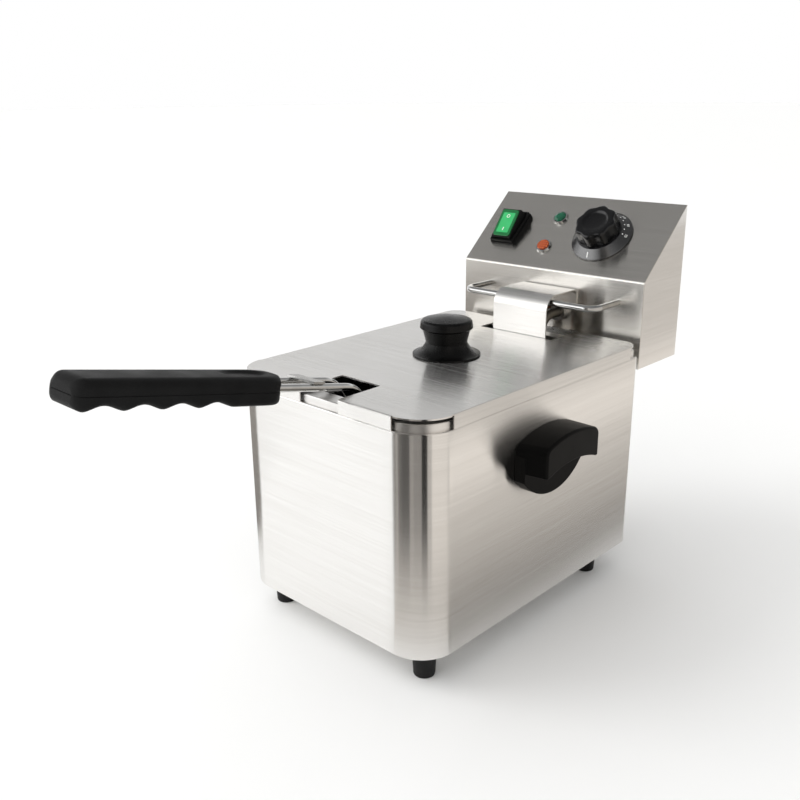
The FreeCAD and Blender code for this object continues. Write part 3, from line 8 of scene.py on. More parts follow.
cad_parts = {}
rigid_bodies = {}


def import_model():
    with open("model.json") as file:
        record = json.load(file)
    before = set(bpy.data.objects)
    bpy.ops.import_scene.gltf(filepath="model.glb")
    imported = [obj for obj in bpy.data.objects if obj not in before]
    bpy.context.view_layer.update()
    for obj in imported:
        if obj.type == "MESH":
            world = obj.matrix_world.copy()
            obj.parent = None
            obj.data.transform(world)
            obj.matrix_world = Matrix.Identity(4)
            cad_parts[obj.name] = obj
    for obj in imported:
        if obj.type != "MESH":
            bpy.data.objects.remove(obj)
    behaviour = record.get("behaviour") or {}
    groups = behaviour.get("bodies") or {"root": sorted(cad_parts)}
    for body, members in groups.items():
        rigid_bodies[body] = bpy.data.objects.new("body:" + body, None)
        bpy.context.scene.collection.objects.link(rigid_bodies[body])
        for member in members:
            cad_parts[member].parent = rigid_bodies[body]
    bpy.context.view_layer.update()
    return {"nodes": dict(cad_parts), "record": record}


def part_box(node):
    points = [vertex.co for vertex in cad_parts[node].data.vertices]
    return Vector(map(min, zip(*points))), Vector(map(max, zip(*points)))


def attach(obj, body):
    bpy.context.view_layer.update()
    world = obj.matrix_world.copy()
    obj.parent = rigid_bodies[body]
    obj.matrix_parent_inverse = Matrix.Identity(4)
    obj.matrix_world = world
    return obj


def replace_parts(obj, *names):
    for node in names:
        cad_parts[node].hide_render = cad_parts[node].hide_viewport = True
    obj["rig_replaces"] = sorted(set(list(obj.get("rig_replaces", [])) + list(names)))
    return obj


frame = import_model()

# A countertop deep fryer. Pieces are drawn in millimetres, with y from the casing's front face and z from
# the table, and go to metres in the frame when they are finished.
mm = 0.001
near = 0.001  # points of a drawing that are closer than this are one point
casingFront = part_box("housing")[0].y
toFrame = Matrix.Translation((0, casingFront, 0)) @ Matrix.Scale(mm, 4)
bodyOf = {item: body for body, items in frame["record"]["behaviour"]["bodies"].items() for item in items}
slotOf = {part["node"]: part["material_slot"] for part in frame["record"]["subparts"]}
print("frame loaded:", len(frame["nodes"]), "nodes")

# the control panel bends back at this y and z, and its slope is in degrees
panel = {"front": 249.0, "bend": 227.8, "slope": 41.9}


def colour(hexCode, tone=1.0):
    # sRGB hex to linear, dimmed to a tone where one is given
    def linear(c):
        return c / 12.92 if c <= 0.04045 else ((c + 0.055) / 1.055) ** 2.4
    return tuple(tone * linear(int(hexCode[i:i + 2], 16) / 255) for i in (1, 3, 5)) + (1.0,)


def setInputs(tree, target, inputs):
    # an input given as a socket is linked, anything else is set on it
    for socket, value in inputs.items():
        if isinstance(value, bpy.types.NodeSocket):
            tree.links.new(value, target.inputs[socket])
        else:
            target.inputs[socket].default_value = value


def node(tree, kind, inputs=None, **settings):
    made = tree.nodes.new("ShaderNode" + kind)
    for field, value in settings.items():
        setattr(made, field, value)
    setInputs(tree, made, inputs or {})
    return made


def newMaterial(name):
    material = bpy.data.materials.new(name)
    material.use_nodes = True
    tree = material.node_tree
    tree.nodes.clear()
    shader = node(tree, "BsdfPrincipled")
    node(tree, "OutputMaterial", {"Surface": shader.outputs["BSDF"]})
    return material, tree, shader


def brushedSteel(name, look, around):
    # Stainless sheet with a belt-brushed finish: fine parallel scratches that smear reflections across
    # the brush. Real scratches are about 0.05 mm apart, so they are drawn coarser, to show in the render.
    material, tree, shader = newMaterial(name)
    place = node(tree, "TexCoord").outputs["Object"]
    along = 1 / (look["lengthMm"] * mm)
    across = 1 / (look["lineMm"] * mm)
    scale = (along, along, across) if around else (along, across, across)
    bandScale = tuple(look["bandScale"] * value for value in scale)
    fine = node(tree, "Mapping", {"Vector": place, "Scale": scale})
    broad = node(tree, "Mapping", {"Vector": place, "Scale": bandScale})
    lines = node(tree, "TexNoise", {
        "Vector": fine.outputs[0], "Scale": 1.0, "Detail": 3.0, "Roughness": 0.65}).outputs[0]
    bands = node(tree, "TexNoise", {"Vector": broad.outputs[0], "Scale": 1.0, "Detail": 2.0})
    clouds = node(tree, "TexNoise", {"Vector": place, "Scale": 1 / (look["cloudMm"] * mm)})
    mixed = node(tree, "Math", {0: bands.outputs[0], 1: look["bands"], 2: lines},
                 operation="MULTIPLY_ADD")
    low, high = (limit + look["bands"] / 2 for limit in look["spread"])
    tone = node(tree, "MapRange", {"Value": mixed.outputs[0], "From Min": low, "From Max": high})
    metal = node(tree, "Mix", {
        "Factor": tone.outputs[0], 6: colour(look["dark"]), 7: colour(look["light"])}, data_type="RGBA")
    worn = node(tree, "Math", {0: clouds.outputs[0], 1: look["clouds"], 2: lines},
                operation="MULTIPLY_ADD")
    rough = node(tree, "MapRange", {
        "Value": worn.outputs[0], "From Min": 0.3, "From Max": 1.0,
        "To Min": look["rough"][0], "To Max": look["rough"][1]})
    bump = node(tree, "Bump", {
        "Height": lines, "Strength": look["bump"], "Distance": look["depthMm"] * mm})
    face = node(tree, "NewGeometry").outputs["Normal"]
    smear = node(tree, "VectorMath", {0: face, 1: (0, 0, 1) if around else (1, 0, 0)},
                 operation="CROSS_PRODUCT")
    setInputs(tree, shader, {
        "Base Color": metal.outputs[2], "Metallic": 1.0, "Roughness": rough.outputs[0],
        "Anisotropic": look["smear"], "Anisotropic Rotation": 0.25 if around else 0.0,
        "Tangent": smear.outputs[0], "Normal": bump.outputs[0]})
    return material


def patchy(tree, place, detail, look):
    # soft patches between two colours and, where two are given, between two roughnesses
    patches = node(tree, "TexNoise", {
        "Vector": place, "Scale": 1 / (look["patchMm"] * mm), "Detail": detail}).outputs[0]
    tint = node(tree, "Mix", {"Factor": patches, 6: colour(look["dark"]), 7: colour(look["light"])},
                data_type="RGBA")
    rough = look["rough"]
    if isinstance(rough, tuple):
        rough = node(tree, "MapRange", {
            "Value": patches, "From Min": 0.3, "From Max": 0.7,
            "To Min": rough[0], "To Max": rough[1]}).outputs[0]
    return tint.outputs[2], rough


def brightSteel(name, look):
    # Drawn, plated or turned metal: near-mirror, with a faint haze that dulls it in patches
    material, tree, shader = newMaterial(name)
    place = node(tree, "TexCoord").outputs["Object"]
    tint, rough = patchy(tree, place, 4.0, look)
    setInputs(tree, shader, {"Base Color": tint, "Metallic": 1.0, "Roughness": rough})
    return material


def mouldedPlastic(name, look):
    # Injection-moulded plastic or phenolic resin, with the fine eroded grain of its mould
    material, tree, shader = newMaterial(name)
    place = node(tree, "TexCoord").outputs["Object"]
    tint, rough = patchy(tree, place, 3.0, look)
    grain = node(tree, "TexNoise", {"Vector": place, "Scale": 1 / (look["grainMm"] * mm), "Detail": 2.0})
    bump = node(tree, "Bump", {
        "Height": grain.outputs[0], "Strength": look["bump"], "Distance": look.get("depthMm", 0.08) * mm})
    setInputs(tree, shader, {
        "Base Color": tint, "Roughness": rough, "IOR": look["ior"],
        "Specular IOR Level": look.get("shine", 0.5), "Normal": bump.outputs[0]})
    return material


def clearPlastic(name, look):
    # Tinted acrylic lens: deep colour with light that comes back from its moulded rear facets
    material, tree, shader = newMaterial(name)
    place = node(tree, "TexCoord").outputs["Object"]
    tint, rough = patchy(tree, place, 2.0, look)
    if "netMm" in look:
        level = node(tree, "Mapping", {"Vector": place, "Rotation": (-radians(panel["slope"]), 0, 0)})
        net = node(tree, "TexBrick", {
            "Vector": level.outputs[0], "Scale": 1 / (look["netMm"] * mm), "Brick Width": 1.0,
            "Row Height": 1.0, "Mortar Size": look["netLine"]}, offset=0.0)
        tint = node(tree, "Mix", {"Factor": net.outputs["Fac"], 6: tint, 7: colour(look["netTone"])},
                    data_type="RGBA").outputs[2]
    setInputs(tree, shader, {
        "Base Color": tint, "Roughness": rough, "IOR": 1.49, "Subsurface Weight": look["glow"],
        "Subsurface Radius": (2 * mm, 2 * mm, 2 * mm), "Coat Weight": 0.6, "Coat Roughness": 0.05})
    return material


# Brushed sheet: pale and even on the casing, streakier on the lid, a shade darker on the panel and dull
# in the tank. Spread is the range of the noise that draws the lines, and bands are about six lines wide.
steelLook = {"lineMm": 0.9, "lengthMm": 90.0, "cloudMm": 60.0, "dark": "#e9e7e4", "light": "#f5f4f2",
             "rough": (0.2, 0.27), "bump": 0.05, "depthMm": 0.05, "smear": 0.97, "spread": (0.2, 0.8),
             "bands": 0.5, "bandScale": 0.17, "clouds": 0.35}
lidLook = dict(steelLook, lengthMm=110.0, dark="#dedcd8", light="#fefdfb", rough=(0.18, 0.3), bump=0.3,
               bands=0.2)
panelLook = dict(steelLook, lineMm=0.7, dark="#dad7d1", light="#e3e0db", rough=(0.16, 0.22), bump=0.04)
tankLook = dict(steelLook, rough=(0.3, 0.45), smear=0.3)
steelWrap = brushedSteel("stainlessSheetBrushedAround", steelLook, around=True)
steelLid = brushedSteel("stainlessSheetBrushedLid", lidLook, around=False)
steelPanel = brushedSteel("stainlessSheetBrushedPanel", panelLook, around=False)
steelCover = brushedSteel("stainlessSheetBrushedCover", steelLook, around=False)
steelTank = brushedSteel("stainlessSheetDrawnTank", tankLook, around=True)

# Bright plating on wire, duller zinc on fixings, straw-brown tube that has been hot, reddish copper
chrome = brightSteel("chromiumPlatedWire", {
    "patchMm": 6.0, "dark": "#c4c4c3", "light": "#dededc", "rough": (0.06, 0.14)})
zincSteel = brightSteel("zincPlatedSteel", {
    "patchMm": 3.0, "dark": "#a9a9a8", "light": "#c6c5c2", "rough": (0.22, 0.36)})
elementSteel = brightSteel("heatTintedTube", {
    "patchMm": 9.0, "dark": "#6b675f", "light": "#8f8a80", "rough": (0.3, 0.42)})
copper = brightSteel("drawnCopper", {
    "patchMm": 4.0, "dark": "#a8694a", "light": "#c98d68", "rough": (0.2, 0.35)})

# Black mouldings: grained and soft on the grip, deeper on the lid knob and side handles, wet-looking on
# the dial knob, satin on its skirt and dull on the small fittings
blackGrip = mouldedPlastic("phenolicBlackMoulded", {
    "grainMm": 0.7, "patchMm": 14.0, "dark": "#171717", "light": "#222222", "rough": (0.4, 0.5),
    "bump": 0.8, "depthMm": 0.22, "ior": 1.5, "shine": 0.05})
blackKnob = mouldedPlastic("phenolicBlackKnob", {
    "grainMm": 0.9, "patchMm": 9.0, "dark": "#050505", "light": "#080808", "rough": (0.24, 0.34),
    "bump": 0.9, "depthMm": 0.24, "ior": 1.55, "shine": 0.2})
blackHandle = mouldedPlastic("polyamideBlackHandle", {
    "grainMm": 0.8, "patchMm": 12.0, "dark": "#050505", "light": "#090909", "rough": (0.36, 0.44),
    "bump": 0.25, "ior": 1.53, "shine": 0.06})
blackGloss = mouldedPlastic("absBlackGloss", {
    "grainMm": 1.2, "patchMm": 12.0, "dark": "#050506", "light": "#09090b", "rough": (0.1, 0.16),
    "bump": 0.03, "ior": 1.5})
blackSkirt = mouldedPlastic("absBlackSatin", {
    "grainMm": 0.8, "patchMm": 12.0, "dark": "#0a0a0c", "light": "#101013", "rough": (0.2, 0.28),
    "bump": 0.03, "ior": 1.9, "shine": 0.8})
blackNylon = mouldedPlastic("nylonBlackMatt", {
    "grainMm": 0.5, "patchMm": 8.0, "dark": "#090909", "light": "#101010", "rough": (0.45, 0.6),
    "bump": 0.15, "ior": 1.53, "shine": 0.25})

# Pale and red mouldings and the white print are plain and dull
palePlastic = mouldedPlastic("ureaPaleMoulded", {
    "grainMm": 0.6, "patchMm": 8.0, "dark": "#d2cfc4", "light": "#e0ddd2", "rough": (0.4, 0.5),
    "bump": 0.1, "ior": 1.5})
redPlastic = mouldedPlastic("absRedMoulded", {
    "grainMm": 0.6, "patchMm": 5.0, "dark": "#9c1714", "light": "#b3211c", "rough": (0.35, 0.45),
    "bump": 0.1, "ior": 1.53})
whiteInk = mouldedPlastic("padPrintedWhiteInk", {
    "grainMm": 0.3, "patchMm": 2.0, "dark": "#dcdcd8", "light": "#ececea", "rough": (0.45, 0.55),
    "bump": 0.05, "ior": 1.5})

# Lenses: dark green jewel, two greens of the lit switch, orange with a net of ridges behind it
greenLens = clearPlastic("acrylicGreenLens", {
    "patchMm": 3.0, "dark": "#06331f", "light": "#0f6045", "rough": 0.1, "glow": 0.2})
switchEdge = clearPlastic("acrylicGreenDeep", {
    "patchMm": 9.0, "dark": "#0a5a2c", "light": "#14703a", "rough": 0.16, "glow": 0.2})
switchFace = clearPlastic("acrylicGreenSwitch", {
    "patchMm": 9.0, "dark": "#2aa45a", "light": "#3dbb72", "rough": 0.22, "glow": 0.3})
orangeLens = clearPlastic("acrylicOrangeLens", {
    "patchMm": 4.0, "dark": "#b85227", "light": "#d4723c", "rough": 0.15, "glow": 0.2,
    "netMm": 2.2, "netLine": 0.2, "netTone": "#7a2a10"})

materialOfSlot = {
    "brushed_casing": steelPanel, "bright_fixings": zincSteel, "chromed_wire": chrome,
    "element_tube": elementSteel, "copper_bulb": copper, "black_moulding": blackNylon,
    "gloss_black": blackGloss, "lamp_chrome": chrome, "green_window": greenLens,
    "orange_window": orangeLens, "pale_moulding": palePlastic, "red_button": redPlastic,
}
print("materials made:", len(bpy.data.materials))


def addObject(name, data):
    made = bpy.data.objects.new(name, data)
    bpy.context.scene.collection.objects.link(made)
    return made


def addMesh(bm, name, material):
    mesh = bpy.data.meshes.new(name)
    bm.to_mesh(mesh)
    bm.free()
    mesh.materials.append(material)
    return addObject(name, mesh)


def finishPiece(bm, name, like, material, replaced=(), sharp=32, inFrame=False, place=None):
    # from drawing to frame: the piece rides with the body of the node it is like
    bmesh.ops.remove_doubles(bm, verts=bm.verts, dist=near * mm if inFrame else near)
    if place:
        bmesh.ops.transform(bm, matrix=place, verts=bm.verts)
    if not inFrame:
        bmesh.ops.transform(bm, matrix=toFrame, verts=bm.verts)
    piece = addMesh(bm, name, material)
    piece.data.shade_smooth()
    piece.data.set_sharp_from_angle(angle=radians(sharp))
    even = piece.modifiers.new("flatFaces", "WEIGHTED_NORMAL")
    even.keep_sharp = True
    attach(piece, bodyOf[like])
    if replaced:
        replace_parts(piece, *replaced)
    return piece


def breakEdges(piece, width):
    rounding = piece.modifiers.new("brokenEdges", "BEVEL")
    rounding.width = width * mm
    rounding.segments = 3
    rounding.limit_method = "ANGLE"
    rounding.angle_limit = radians(40)
    piece.modifiers.move(len(piece.modifiers) - 1, 0)


def smoothCopy(cadNode, material, bevel):
    # the same solid with its facets shaded round, and its hard edges broken where a bevel is given
    bm = bmesh.new()
    bm.from_mesh(frame["nodes"][cadNode].data)
    bmesh.ops.remove_doubles(bm, verts=bm.verts, dist=near * mm)
    bmesh.ops.dissolve_limit(bm, angle_limit=radians(0.4), verts=bm.verts, edges=bm.edges)
    words = cadNode.split("_")
    name = words[0] + ("".join(word.title() for word in words[1:]) or "Piece")
    piece = finishPiece(bm, name, cadNode, material, [cadNode], sharp=28, inFrame=True)
    if bevel:
        breakEdges(piece, bevel)


def vertsOf(geometry):
    return [item for item in geometry if isinstance(item, bmesh.types.BMVert)]


def edgesOf(geometry):
    return [item for item in geometry if isinstance(item, bmesh.types.BMEdge)]


def upright(face):
    return abs(face.normal.z) < 0.5


def atHeight(item, z):
    return all(abs(vert.co.z - z) < near for vert in item.verts)


def thicken(bm, thickness):
    # the sheet's other side lies within, so the drawn side keeps its size
    bmesh.ops.solidify(bm, geom=bm.faces[:], thickness=thickness)


def flatOutline(bm, corners, z):
    return bm.faces.new([bm.verts.new((x, y, z)) for x, y in corners])


def roundCorners(bm, verts, radius, segments):
    bmesh.ops.bevel(bm, geom=verts, offset=radius, affect="VERTICES", segments=segments, profile=0.5,
                    material=-1)


def roundEdges(bm, edges, radius, segments):
    bmesh.ops.bevel(bm, geom=list(edges), offset=radius, affect="EDGES", segments=segments, profile=0.5,
                    material=-1)


def rectangle(halfWidth, front, rear):
    return [(-halfWidth, front), (halfWidth, front), (halfWidth, rear), (-halfWidth, rear)]


def roundedPlate(bm, halfWidth, front, rear, z, frontRadius, rearRadius, segments):
    plate = flatOutline(bm, rectangle(halfWidth, front, rear), z)
    verts = list(plate.verts)
    roundCorners(bm, verts[:2], frontRadius, segments)
    roundCorners(bm, verts[2:], rearRadius, segments)
    return next(face for face in bm.faces if abs(face.calc_center_median().z - z) < near)


def raiseFace(bm, face, height):
    # lifts a face on new walls; the old face stays only where it closes the bottom of a plate
    raised = bmesh.ops.extrude_face_region(bm, geom=[face])["geom"]
    if face.is_valid and any(len(edge.link_faces) > 2 for edge in face.edges):
        bmesh.ops.delete(bm, geom=[face], context="FACES_ONLY")
    bmesh.ops.translate(bm, verts=vertsOf(raised), vec=(0, 0, height))
    return next(item for item in raised if isinstance(item, bmesh.types.BMFace))


def dropEdges(bm, edges, depth):
    # a strip of sheet turned down from open edges
    strip = bmesh.ops.extrude_edge_only(bm, edges=edges)["geom"]
    bmesh.ops.translate(bm, verts=vertsOf(strip), vec=(0, 0, -depth))
    bmesh.ops.recalc_face_normals(bm, faces=bm.faces)


def faceUp(bm, z):
    # turns an open sheet over if its face at this height looks down
    if next(face for face in bm.faces if atHeight(face, z)).normal.z < 0:
        bmesh.ops.reverse_faces(bm, faces=bm.faces)


def turned(profile, steps):
    # a profile of (radius, height) spun about the upright axis
    bm = bmesh.new()
    verts = [bm.verts.new((radius, 0, z)) for radius, z in profile]
    edges = [bm.edges.new(pair) for pair in zip(verts, verts[1:])]
    bmesh.ops.spin(bm, geom=verts + edges, cent=(0, 0, 0), axis=(0, 0, 1), angle=2 * pi, steps=steps,
                   use_merge=True)
    bmesh.ops.remove_doubles(bm, verts=bm.verts, dist=near)
    bmesh.ops.recalc_face_normals(bm, faces=bm.faces)
    return bm


def bentWire(bm, stops, diameter, bend, sides=20, steps=14):
    # a ring run along each straight and spun round each bend
    points = [Vector(stop) for stop in stops]
    heading = (points[1] - points[0]).normalized()
    start = Matrix.Translation(points[0]) @ heading.to_track_quat("Z", "Y").to_matrix().to_4x4()
    ring = bmesh.ops.create_circle(bm, segments=sides, radius=diameter / 2, matrix=start)["verts"]
    edges = list({edge for vert in ring for edge in vert.link_edges})
    firstRing = list(edges)

    def run(edges, step):
        made = bmesh.ops.extrude_edge_only(bm, edges=edges)["geom"]
        bmesh.ops.translate(bm, verts=vertsOf(made), vec=step)
        return edgesOf(made)

    at = points[0]
    for before, corner, after in zip(points, points[1:], points[2:]):
        inward = (corner - before).normalized()
        outward = (after - corner).normalized()
        angle = inward.angle(outward)
        cutBack = bend * tan(angle / 2)
        edges = run(edges, corner - inward * cutBack - at)
        axis = inward.cross(outward).normalized()
        centre = corner - inward * cutBack + axis.cross(inward) * bend
        spun = bmesh.ops.spin(bm, geom=edges, cent=centre, axis=axis, angle=angle, steps=steps)
        edges = edgesOf(spun["geom_last"])
        at = corner + outward * cutBack
    edges = run(edges, points[-1] - at)
    bmesh.ops.edgeloop_fill(bm, edges=firstRing)
    bmesh.ops.edgeloop_fill(bm, edges=edges)
    bmesh.ops.recalc_face_normals(bm, faces=bm.faces)


def loftRings(rings):
    # a closed skin through rings of equally many points
    bm = bmesh.new()
    loops = []
    for ring in rings:
        verts = [bm.verts.new(point) for point in ring]
        loops.append([bm.edges.new(pair) for pair in zip(verts, verts[1:] + verts[:1])])
    for first, second in zip(loops, loops[1:]):
        bmesh.ops.bridge_loops(bm, edges=first + second)
    for end in (loops[0], loops[-1]):
        bmesh.ops.edgeloop_fill(bm, edges=end)
    bmesh.ops.recalc_face_normals(bm, faces=bm.faces)
    return bm


casing = {"half": 90.0, "depth": 243.0, "low": 22.0, "top": 174.5, "front": 26.5, "rear": 8.0,
          "sheet": 1.0, "fold": 1.4, "shelf": 12.0}


def makeCasing():
    c = casing
    bm = bmesh.new()
    floor = roundedPlate(bm, c["half"], 0, c["depth"], c["low"], c["front"], c["rear"], segments=24)
    top = raiseFace(bm, floor, c["top"] - c["low"])
    bmesh.ops.inset_region(bm, faces=[top], thickness=c["shelf"], use_even_offset=True)
    bottom = [face for face in bm.faces if atHeight(face, c["low"])]
    bmesh.ops.delete(bm, geom=bottom + [top], context="FACES_ONLY")
    bmesh.ops.recalc_face_normals(bm, faces=bm.faces)
    rim = [edge for edge in bm.edges
           if atHeight(edge, c["top"]) and any(upright(face) for face in edge.link_faces)]
    roundEdges(bm, rim, c["fold"], segments=5)
    thicken(bm, c["sheet"])
    finishPiece(bm, "casing", "housing", steelWrap, ["housing"])


tank = {"half": 76.0, "front": 14.0, "rear": 229.0, "radius": 20.0, "low": 55.8, "top": 179.8,
        "floorRound": 6.0, "flangeHalf": 87.5, "flangeFront": 2.5, "flangeRear": 240.5,
        "flangeRadius": 24.0, "flangeRearRadius": 5.5, "skirt": 5.3, "sheet": 1.0, "fold": 1.2}


def makeTank():
    t = tank
    bm = bmesh.new()
    floor = roundedPlate(bm, t["half"], t["front"], t["rear"], t["low"], t["radius"], t["radius"],
                         segments=16)
    mouth = raiseFace(bm, floor, t["top"] - t["low"])
    bmesh.ops.delete(bm, geom=[mouth], context="FACES_ONLY")
    roundEdges(bm, [edge for edge in bm.edges if atHeight(edge, t["low"])], t["floorRound"], segments=5)
    inner = [edge for edge in bm.edges if atHeight(edge, t["top"])]
    before = set(bm.edges)
    brim = flatOutline(bm, rectangle(t["flangeHalf"], t["flangeFront"], t["flangeRear"]), t["top"])
    verts = list(brim.verts)
    roundCorners(bm, verts[:2], t["flangeRadius"], segments=16)
    roundCorners(bm, verts[2:], t["flangeRearRadius"], segments=16)
    outer = [edge for edge in bm.edges if edge not in before]
    bmesh.ops.delete(bm, geom=list(outer[0].link_faces), context="FACES_ONLY")
    bmesh.ops.bridge_loops(bm, edges=inner + outer)
    dropEdges(bm, outer, t["skirt"])
    faceUp(bm, t["low"])
    roundEdges(bm, outer, t["fold"], segments=4)
    thicken(bm, t["sheet"])
    finishPiece(bm, "oilTank", "oil_tank", steelTank, ["oil_tank"])


lidCover = {"half": 90.0, "rear": 240.7, "top": 183.8, "lip": 9.3, "front": 26.5, "rearRadius": 13.0,
            "notch": 18.0, "notchDepth": 38.0, "rearNotch": 34.0, "rearNotchAt": 206.0, "sheet": 1.0,
            "fold": 1.1, "shortest": 50.0}


def makeLid():
    c = lidCover
    bm = bmesh.new()
    outline = [(-c["half"], 0), (-c["notch"], 0), (-c["notch"], c["notchDepth"]),
               (c["notch"], c["notchDepth"]), (c["notch"], 0), (c["half"], 0), (c["half"], c["rear"]),
               (c["rearNotch"], c["rear"]), (c["rearNotch"], c["rearNotchAt"]),
               (-c["rearNotch"], c["rearNotchAt"]), (-c["rearNotch"], c["rear"]), (-c["half"], c["rear"])]
    plate = flatOutline(bm, outline, c["top"])
    verts = list(plate.verts)
    roundCorners(bm, [verts[0], verts[5]], c["front"], segments=24)
    roundCorners(bm, [verts[6], verts[11]], c["rearRadius"], segments=16)

    def folds(edge):
        # lips turn down along the front and the straight part of each side
        ends = [vert.co for vert in edge.verts]
        onFront = all(abs(end.y) < near for end in ends)
        onSide = all(abs(abs(end.x) - c["half"]) < near for end in ends)
        return onFront or onSide and edge.calc_length() > c["shortest"]

    folded = [edge for edge in bm.edges if folds(edge)]
    dropEdges(bm, folded, c["lip"])
    faceUp(bm, c["top"])
    roundEdges(bm, folded, c["fold"], segments=5)
    thicken(bm, c["sheet"])
    cover = finishPiece(bm, "lidCover", "lid", steelLid, ["lid"])
    cover.data.materials.append(steelWrap)
    for face in cover.data.polygons:
        face.material_index = 1 if upright(face) else 0


# foot and cap are points of the knob's profile, as radius and height
lidKnob = {"y": 124.0, "z": 183.8, "foot": [(24.0, 0), (24.5, 0.4), (24.5, 1.2)], "waist": (14.9, 9.5),
           "cap": [(17.0, 18.2), (17.1, 18.8), (18.6, 19.6), (19.1, 20.2), (18.7, 23.4)],
           "flare": radians(52), "shoulder": 2.8, "height": 28.0, "steps": 8}


def makeLidKnob():
    # a bell-shaped foot, a sharp waist, a neck that widens upward and a cap with a soft shoulder
    k = lidKnob
    flare = k["flare"]
    (wide, wideTop), (waist, waistAt), (cap, capTop) = k["foot"][-1], k["waist"], k["cap"][-1]
    shares = [i / k["steps"] for i in range(1, k["steps"] + 1)]
    profile = [(0, 0)] + k["foot"]
    profile += [(wide - (wide - waist) * sin(share * flare) / sin(flare),
                 wideTop + (waistAt - wideTop) * (1 - cos(share * flare)) / (1 - cos(flare)))
                for share in shares]
    profile += k["cap"]
    rim = cap - k["shoulder"]
    profile += [(rim + k["shoulder"] * cos(share * pi / 2), capTop + k["shoulder"] * sin(share * pi / 2))
                for share in shares]
    rise = k["height"] - capTop - k["shoulder"]
    profile += [(rim * share, k["height"] - rise * share ** 2) for share in (0.75, 0.5, 0.25, 0)]
    bm = turned(profile, steps=96)
    bmesh.ops.translate(bm, verts=bm.verts, vec=(0, k["y"], k["z"]))
    finishPiece(bm, "lidKnob", "lid_knob", blackKnob, ["lid_knob"], sharp=24)


feet = {"x": 70.0, "front": 22.0, "rear": 214.0, "edge": [(6.3, 0), (7.0, 0.3), (7.3, 1.0)], "top": 8.5,
        "height": 22.0, "recess": 5.0, "recessTop": 11.0, "hole": 2.1}


def makeFeet():
    f = feet
    inside = (f["recess"], f["recessTop"])
    profile = [inside, (f["recess"], 0)] + f["edge"]
    profile += [(f["top"], f["height"]), (f["hole"], f["height"]), (f["hole"], f["recessTop"]), inside]
    for end in ("front", "rear"):
        for side, x in (("left", -f["x"]), ("right", f["x"])):
            bm = turned(profile, steps=48)
            bmesh.ops.translate(bm, verts=bm.verts, vec=(x, f[end], 0))
            like = f"foot_{end}_{side}"
            finishPiece(bm, f"foot.{end}_{side}", like, blackNylon, [like], sharp=40)


hanger = {"left": -58.0, "right": 64.0, "face": 249.0, "front": 215.5, "z": 210.0, "wire": 5.0,
          "bend": 9.0}


def makeHanger():
    h = hanger
    bm = bmesh.new()
    stops = [(h[side], h[end], h["z"]) for side, end in (("left", "face"), ("left", "front"),
                                                         ("right", "front"), ("right", "face"))]
    bentWire(bm, stops, h["wire"], h["bend"])
    finishPiece(bm, "hangerWire", "hanger_wire", chrome, ["hanger_wire"], sharp=60)


rods = {"x": 10.0, "y": 31.5, "z": 183.1, "bend": 22.3, "rise": 12.5, "reach": 127.0, "leg": 78.0,
        "wire": 5.0}


def makeRods():
    r = rods
    ahead, up = r["reach"] * cos(radians(r["rise"])), r["reach"] * sin(radians(r["rise"]))
    for side, x in (("left", -r["x"]), ("right", r["x"])):
        bm = bmesh.new()
        stops = [(x, r["y"] - ahead, r["z"] + up), (x, r["y"], r["z"]), (x, r["y"], r["z"] - r["leg"])]
        bentWire(bm, stops, r["wire"], r["bend"])
        like = f"handle_rod_{side}"
        finishPiece(bm, f"handleRod.{side}", like, chrome, [like], sharp=60)


def onHandle():
    # the basket's handle: y runs along the rods toward the basket, z out of their top
    r = rods
    return Matrix.Translation((0, r["y"], r["z"])) @ Matrix.Rotation(-radians(r["rise"]), 4, "X")


grip = {"rear": -67.0, "front": -203.0, "half": 15.7, "parting": -1.5, "top": 7.5, "bottom": -9.5,
        "corner": 6.0, "topNose": 7.0, "underNose": 5.5, "topEdge": 5.2, "underEdge": 3.0, "crown": 0.5,
        "groove": 0.3, "hollow": 2.9, "hollowFirst": -118.0, "hollowPitch": 22.8, "hollows": 4,
        "hollowPower": 0.8, "thumbAt": -92.0, "thumbLong": 16.0, "thumbHalf": 9.0, "thumbDepth": 1.6,
        "thumbWall": 2.4, "screws": (-95.0, -186.4), "screwRecess": 3.1, "screwPatch": 3.6,
        "screwSeat": -4.17, "arcSteps": 8, "flatSteps": 12}


def roundOff(distance, radius):
    # how much of a radius is left to the skin this far from an end that is rounded off
    short = max(0.0, radius - distance)
    return radius - sqrt(radius * radius - short * short)


def endCut(y, frontRadius, rearRadius):
    # what the rounded ends take off the grip's skin here
    return max(roundOff(y - grip["front"], frontRadius), roundOff(grip["rear"] - y, rearRadius))


def gripStations():
    # close together round the two ends, and a millimetre apart between them
    g = grip
    rear = [g["rear"] - g["half"] * (1 - cos(radians(turn))) for turn in range(4, 90, 5)]
    front = [g["front"] + g["corner"] * (1 - sin(radians(turn))) for turn in range(0, 88, 6)]
    start, end = g["rear"] - g["half"], g["front"] + g["corner"]
    count = int(start - end)
    return rear + [start + (end - start) * i / count for i in range(count)] + front


def gripReach(y, upper):
    # the height of the top, or of the underside with its finger hollows, along the grip
    g = grip
    if upper:
        return g["top"] - endCut(y, g["topNose"], g["topEdge"])
    first, pitch = g["hollowFirst"], g["hollowPitch"]
    last = first - (g["hollows"] - 1) * pitch
    held = last - pitch / 2 < y < first + pitch / 2
    wave = cos(pi * (y - first) / pitch) ** 2 if held else 0.0
    hollow = g["hollow"] * wave ** g["hollowPower"]
    return g["bottom"] + hollow + endCut(y, g["underNose"], g["underEdge"])


